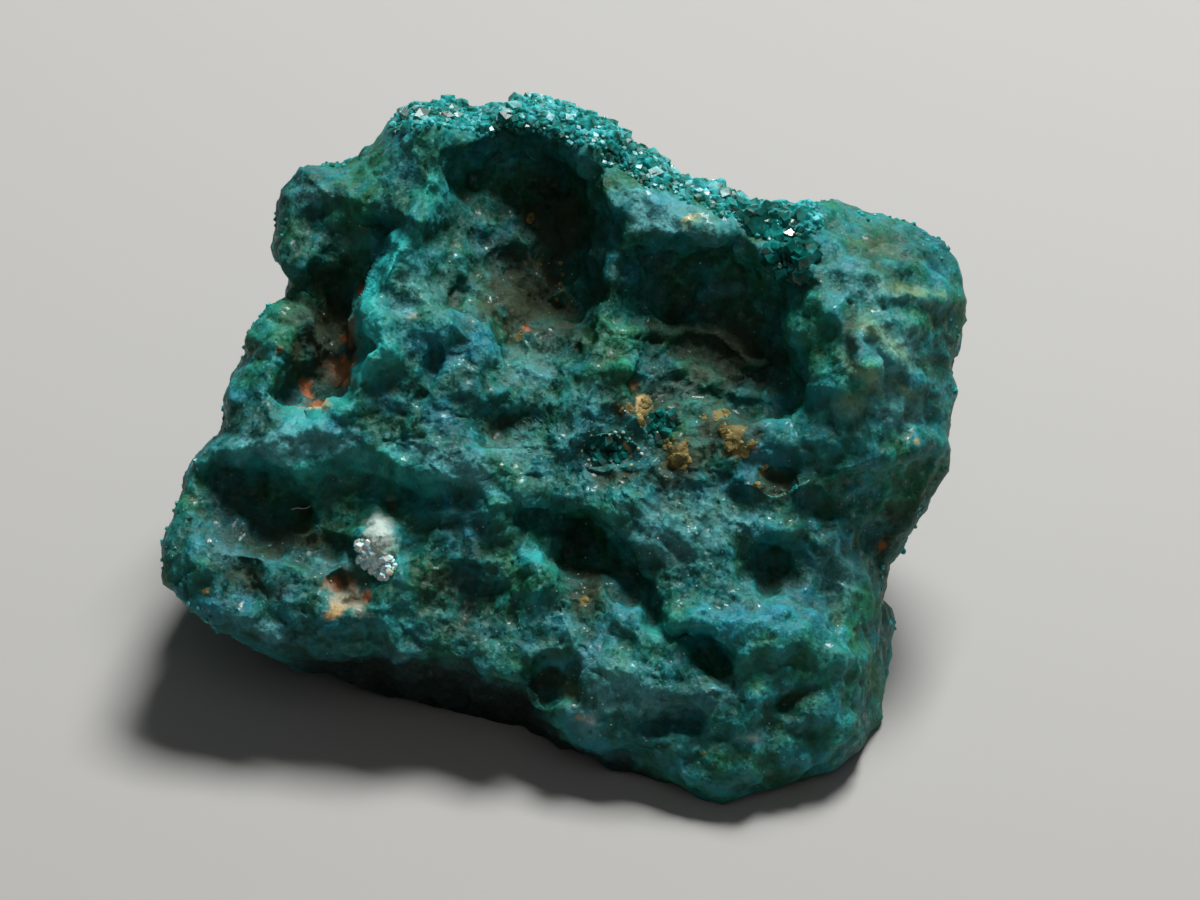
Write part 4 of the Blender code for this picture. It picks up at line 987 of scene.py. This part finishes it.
white = crystal_heap(
    "white_crystals", spread_out(within(WHITE_ENDS), gap=0.15, most=40, seed=SEED + 56), SEED + 57,
    radius=(0.1, 0.26), slimness=(0.6, 1.0), lean=0.6, sink=1.15,
)
milky, shade = new_finish("milky_crystal")
shade.paint({
    "Base Color": shade.cloud(0.6).ramp(
        (0.4, linear(206, 228, 222)), (0.5, linear(232, 242, 236)), (0.6, linear(254, 252, 240))
    ),
    "Roughness": 0.2 + 0.5 * shade.cloud(0.2),
    "IOR": 1.55,
    "Subsurface Weight": 0.8,
    "Subsurface Scale": 0.4 * MILLIMETRE,
})
white.data.materials.append(milky)
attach(white, "root")

# ---- Ochre and cream grains ----
# Crumbs of iron clay and of a pale mineral, stuck on the face where it is pocketed: a few lumps near the
# middle, a short chain in the big bowl, and fine crumbs scattered over the lower half.
GRAIN_RINGS = 4
GRAIN_SIDES = 7
GRAIN_SWELL = (0.5, 1.3, 7.0)  # how much noise swells a grain, how fine it is, and its shift between grains
GRAINS_A_LUMP = 6
LUMP_SPREAD = 0.6  # how far a lump's grains lie from its middle, in its radius
LUMP_GRAINS = (0.35, 0.85)  # how wide they are, in its radius

# Across, up and radius of each lump.
OCHRE_LUMPS = [
    (3.25, 2.0, 0.30), (3.1, 1.5, 0.24), (3.1, 1.1, 0.22), (2.55, 1.6, 0.22), (2.3, 1.55, 0.10),
    (4.45, -0.15, 0.50), (4.75, -0.55, 0.28), (4.2, 0.25, 0.24), (6.6, 0.6, 0.34), (6.85, 0.15, 0.42),
    (7.15, -0.1, 0.26), (6.45, 1.55, 0.18), (6.1, 1.2, 0.14), (5.6, 1.3, 0.12), (7.55, 0.25, 0.2),
    (8.0, -0.72, 0.13), (7.75, -1.25, 0.11), (7.6, -1.45, 0.09), (8.45, -0.85, 0.07), (-0.2, 7.6, 0.09),
    (-0.12, 7.1, 0.08), (-0.2, 6.7, 0.12), (0.0, 6.4, 0.10), (-0.28, 6.1, 0.11), (-1.37, 9.5, 0.22),
    (-1.8, 4.7, 0.15), (0.77, -5.9, 0.15), (-14.3, -5.6, 0.14), (-15.0, -2.0, 0.10), (5.5, -12.0, 0.11),
    (-5.4, -4.6, 0.09), (-11.5, 4.05, 0.12),
]


def nearest_skin(across, up):
    """The index of the face's skin point nearest to a place given as (across, up)."""
    away = np.hypot(face_x - across, face_y - up)
    return int(np.argmin(np.where(directions[:, 2] > INSIDE_RIM, away, np.inf)))


def grain_heap(name, picks, sizes, seed, flatness=0.7):
    """Lumpy closed grains on the picked skin points: spheres of rings and sides, flattened along the normal
    by flatness and swollen by 1 + swell times noise. Sizes are radii in millimetres."""
    ball = all_round(math.pi * (np.arange(GRAIN_RINGS) + 1.0) / (GRAIN_RINGS + 1.0), GRAIN_SIDES)
    count, corners = len(picks), len(ball)
    chance = np.random.default_rng(seed)
    axis = skin_normals[picks]
    side, other = turned_sides(axis, chance)
    swell, fineness, shift = GRAIN_SWELL
    own = ball[None] + shift * np.arange(count)[:, None, None]
    grown = 1.0 + swell * noise((own * fineness).reshape(-1, 3), seed).reshape(count, corners)
    shape = ball[None] * (grown * np.asarray(sizes)[:, None])[:, :, None]
    places = shape[:, :, :1] * side[:, None] + shape[:, :, 1:2] * other[:, None]
    places += flatness * shape[:, :, 2:] * axis[:, None] + room_places[picks][:, None]
    mesh = new_mesh(name, in_metres(places.reshape(-1, 3)), capped_faces(GRAIN_RINGS, GRAIN_SIDES), count)
    return new_object(name, mesh)


lumps = np.repeat(np.array(OCHRE_LUMPS), GRAINS_A_LUMP, axis=0)
scatter = np.random.default_rng(SEED + 60)
lumps[:, :2] += lumps[:, 2:] * scatter.uniform(-LUMP_SPREAD, LUMP_SPREAD, size=(len(lumps), 2))
lump_picks = np.array([nearest_skin(across, up) for across, up, radius in lumps])
grain_sizes = lumps[:, 2] * scatter.uniform(*LUMP_GRAINS, len(lumps))
ochre = grain_heap("ochre_lumps", lump_picks, grain_sizes, SEED + 60, flatness=0.35)
earthy, shade = new_finish("ochre_clay")
grit = shade.cloud(0.18)
shade.paint({
    "Base Color": (0.6 * shade.cloud(0.5) + 0.4 * grit).ramp(
        (0.38, linear(70, 66, 36)), (0.5, linear(118, 106, 56)), (0.62, linear(160, 144, 88))
    ),
    "Roughness": 0.6 + 0.35 * grit,
    "IOR": 1.45,
    "Normal": shade.node(
        "Bump", {"Strength": 0.8, "Distance": 0.06 * MILLIMETRE, "Height": shade.cloud(0.08)}
    ),
})
ochre.data.materials.append(earthy)
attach(ochre, "root")

CRUMBED = [
    (2.2, 0.2, 1.6, 1.3), (4.0, 1.6, 1.8, 0.9), (7.8, -0.9, 0.9, 0.7), (0.8, -5.6, 1.2, 1.6),
    (0.6, -9.6, 1.6, 1.4), (3.4, -8.8, 2.0, 1.0), (7.4, -11.0, 1.4, 0.8), (5.0, -4.6, 2.6, 2.0),
    (-9.0, -5.6, 1.6, 1.2), (-0.4, 6.8, 1.0, 1.6), (-4.4, 13.5, 1.4, 0.5),
]
WHOLE_FACE = [(0.0, 0.0, 14.0, 12.0)]
POCKET_RIM = [(1.9, 0.1, 1.2, 0.75, -10)]
POCKET_MOUTH = [(1.9, -0.1, 0.9, 0.5, -10)]
CRUMB_RADII = (0.015, 0.05)
RIM_CRUMB_RADII = (0.04, 0.08)

crumb_picks = np.concatenate([
    spread_out(within(CRUMBED), gap=0.36, most=100, seed=SEED + 61),
    spread_out(within(WHOLE_FACE), gap=1.5, most=30, seed=SEED + 66),
])
rim_picks = spread_out(within(POCKET_RIM) & ~within(POCKET_MOUTH), gap=0.22, most=12, seed=SEED + 63)
crumb_sizes = np.concatenate([
    np.random.default_rng(SEED + 62).uniform(*CRUMB_RADII, len(crumb_picks)),
    np.random.default_rng(SEED + 64).uniform(*RIM_CRUMB_RADII, len(rim_picks)),
])
crumbs = grain_heap("cream_crumbs", np.concatenate([crumb_picks, rim_picks]), crumb_sizes, SEED + 65)
pale_grit, shade = new_finish("cream_grit")
shade.paint({
    "Base Color": shade.cloud(1.2).ramp(
        (0.4, linear(168, 158, 112)), (0.5, linear(160, 186, 172)), (0.6, linear(204, 206, 178))
    ),
    "Roughness": 0.3 + 0.4 * shade.cloud(0.1),
    "IOR": 1.5,
})
crumbs.data.materials.append(pale_grit)
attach(crumbs, "root")

# ---- A stray fibre ----
# A short pale fibre of lint lying across the left lobe's hollow, as thick as a hair. It lies loose on the
# stone, along a slightly wavy line.
FIBRE_LINE = [(-11.0, -2.45), (-10.7, -2.33), (-10.45, -2.38), (-10.2, -2.3), (-10.0, -2.15)]
FIBRE_RADIUS = 0.02
FIBRE_SIDES = 6
FIBRE_ROWS = 25
FIBRE_EASE = 0.5  # over how much of a step of its line the fibre is smoothed
FIBRE_LIFT = (0.03, 0.05)  # off each point of the skin under it, and off them all once it is smooth


def fibre_tube(name):
    """A round tube carried along the fibre's line, lifted off the skin and smoothed: at each point its ring
    is radius (cos a side + sin a up), where side is square to the line and to the skin's normal."""
    line = np.array(FIBRE_LINE)
    t = np.linspace(0.0, len(line) - 1.0, FIBRE_ROWS)
    smooth = np.stack([np.interp(t, np.arange(len(line)), line[:, axis]) for axis in range(2)], axis=1)
    picks = np.array([nearest_skin(across, up) for across, up in smooth])
    weights = np.exp(-(((t[:, None] - t[None]) / FIBRE_EASE) ** 2))
    path = weights @ (room_places[picks] + FIBRE_LIFT[0] * skin_normals[picks])
    path = path / weights.sum(axis=1)[:, None] + FIBRE_LIFT[1] * skin_normals[picks].mean(axis=0)
    along = np.gradient(path, axis=0)
    along /= np.linalg.norm(along, axis=1)[:, None]
    side = np.cross(along, skin_normals[picks].mean(axis=0))
    side /= np.linalg.norm(side, axis=1)[:, None]
    up = np.cross(side, along)
    angle = (2.0 * math.pi * np.arange(FIBRE_SIDES) / FIBRE_SIDES)[:, None]
    rows = path[:, None] + FIBRE_RADIUS * (side[:, None] * np.cos(angle) + up[:, None] * np.sin(angle))
    points = np.concatenate([rows.reshape(-1, 3), path[[0, -1]]])
    return new_mesh(name, in_metres(points), capped_faces(FIBRE_ROWS, FIBRE_SIDES))


fibre = new_object("lint_fibre", fibre_tube("lint_fibre"))
lint, shade = new_finish("lint")
shade.paint({
    "Base Color": shade.cloud(0.2).ramp((0.0, linear(176, 186, 188)), (1.0, linear(224, 228, 226))),
    "Roughness": 0.7,
    "IOR": 1.5,
})
fibre.data.materials.append(lint)
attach(fibre, "root")

# ---- The floor, the light and the camera ----
# A plain pale floor. One broad soft light stands behind and above, a little to the right, so that it grazes
# the broken face, and a weak one fills from the front. The camera looks straight at that face through a long
# lens.
FLOOR_REACH = 1.5  # metres to each side
LIT_PLACE = (0.0, 0.0, 8.0)
LOOKED_AT = (1.514, -2.2, 9.1)
CAMERA_DISTANCE = 334.5

floor_mesh = bpy.data.meshes.new("studio_floor")
corners = FLOOR_REACH * np.array([(-1.0, -1.0, 0.0), (1.0, -1.0, 0.0), (1.0, 1.0, 0.0), (-1.0, 1.0, 0.0)])
floor_mesh.from_pydata(corners.tolist(), [], [(0, 1, 2, 3)])
floor = new_object("studio_floor", floor_mesh)
pale, shade = new_finish("pale_floor")
shade.paint({"Base Color": linear(166, 165, 162), "Roughness": 0.8, "IOR": 1.4})
floor_mesh.materials.append(pale)


def soft_light(name, place, size, power):
    """A square light of the given side, pointed from its place at the stone. Millimetres and watts."""
    lamp = bpy.data.lights.new(name, "AREA")
    lamp.size = size * MILLIMETRE
    lamp.energy = power
    holder = new_object(name, lamp)
    holder.location = Vector(place) * MILLIMETRE
    holder.rotation_euler = (Vector(LIT_PLACE) - Vector(place)).to_track_quat("-Z", "Y").to_euler()


soft_light("key", place=(62.0, 132.0, 255.0), size=100.0, power=1.3)
soft_light("fill", place=(60.0, -200.0, 300.0), size=260.0, power=0.08)
world = bpy.data.worlds.new("soft_surround")
world.use_nodes = True
world.node_tree.nodes["Background"].inputs["Color"].default_value = (0.96, 0.98, 1.0, 1.0)
world.node_tree.nodes["Background"].inputs["Strength"].default_value = 0.06
bpy.context.scene.world = world
bpy.context.scene.view_settings.view_transform = "Standard"

camera = bpy.data.cameras.new("camera")
camera.lens = 250.0
camera.sensor_width = 36.0
camera.clip_start = 0.01
camera.clip_end = 10.0
viewer = new_object("camera", camera)
toward = Vector((0.0, -math.cos(FACE_LEAN), math.sin(FACE_LEAN)))
viewer.location = Vector(LOOKED_AT) * MILLIMETRE + toward * CAMERA_DISTANCE * MILLIMETRE
viewer.rotation_euler = (-toward).to_track_quat("-Z", "Y").to_euler()
bpy.context.scene.camera = viewer
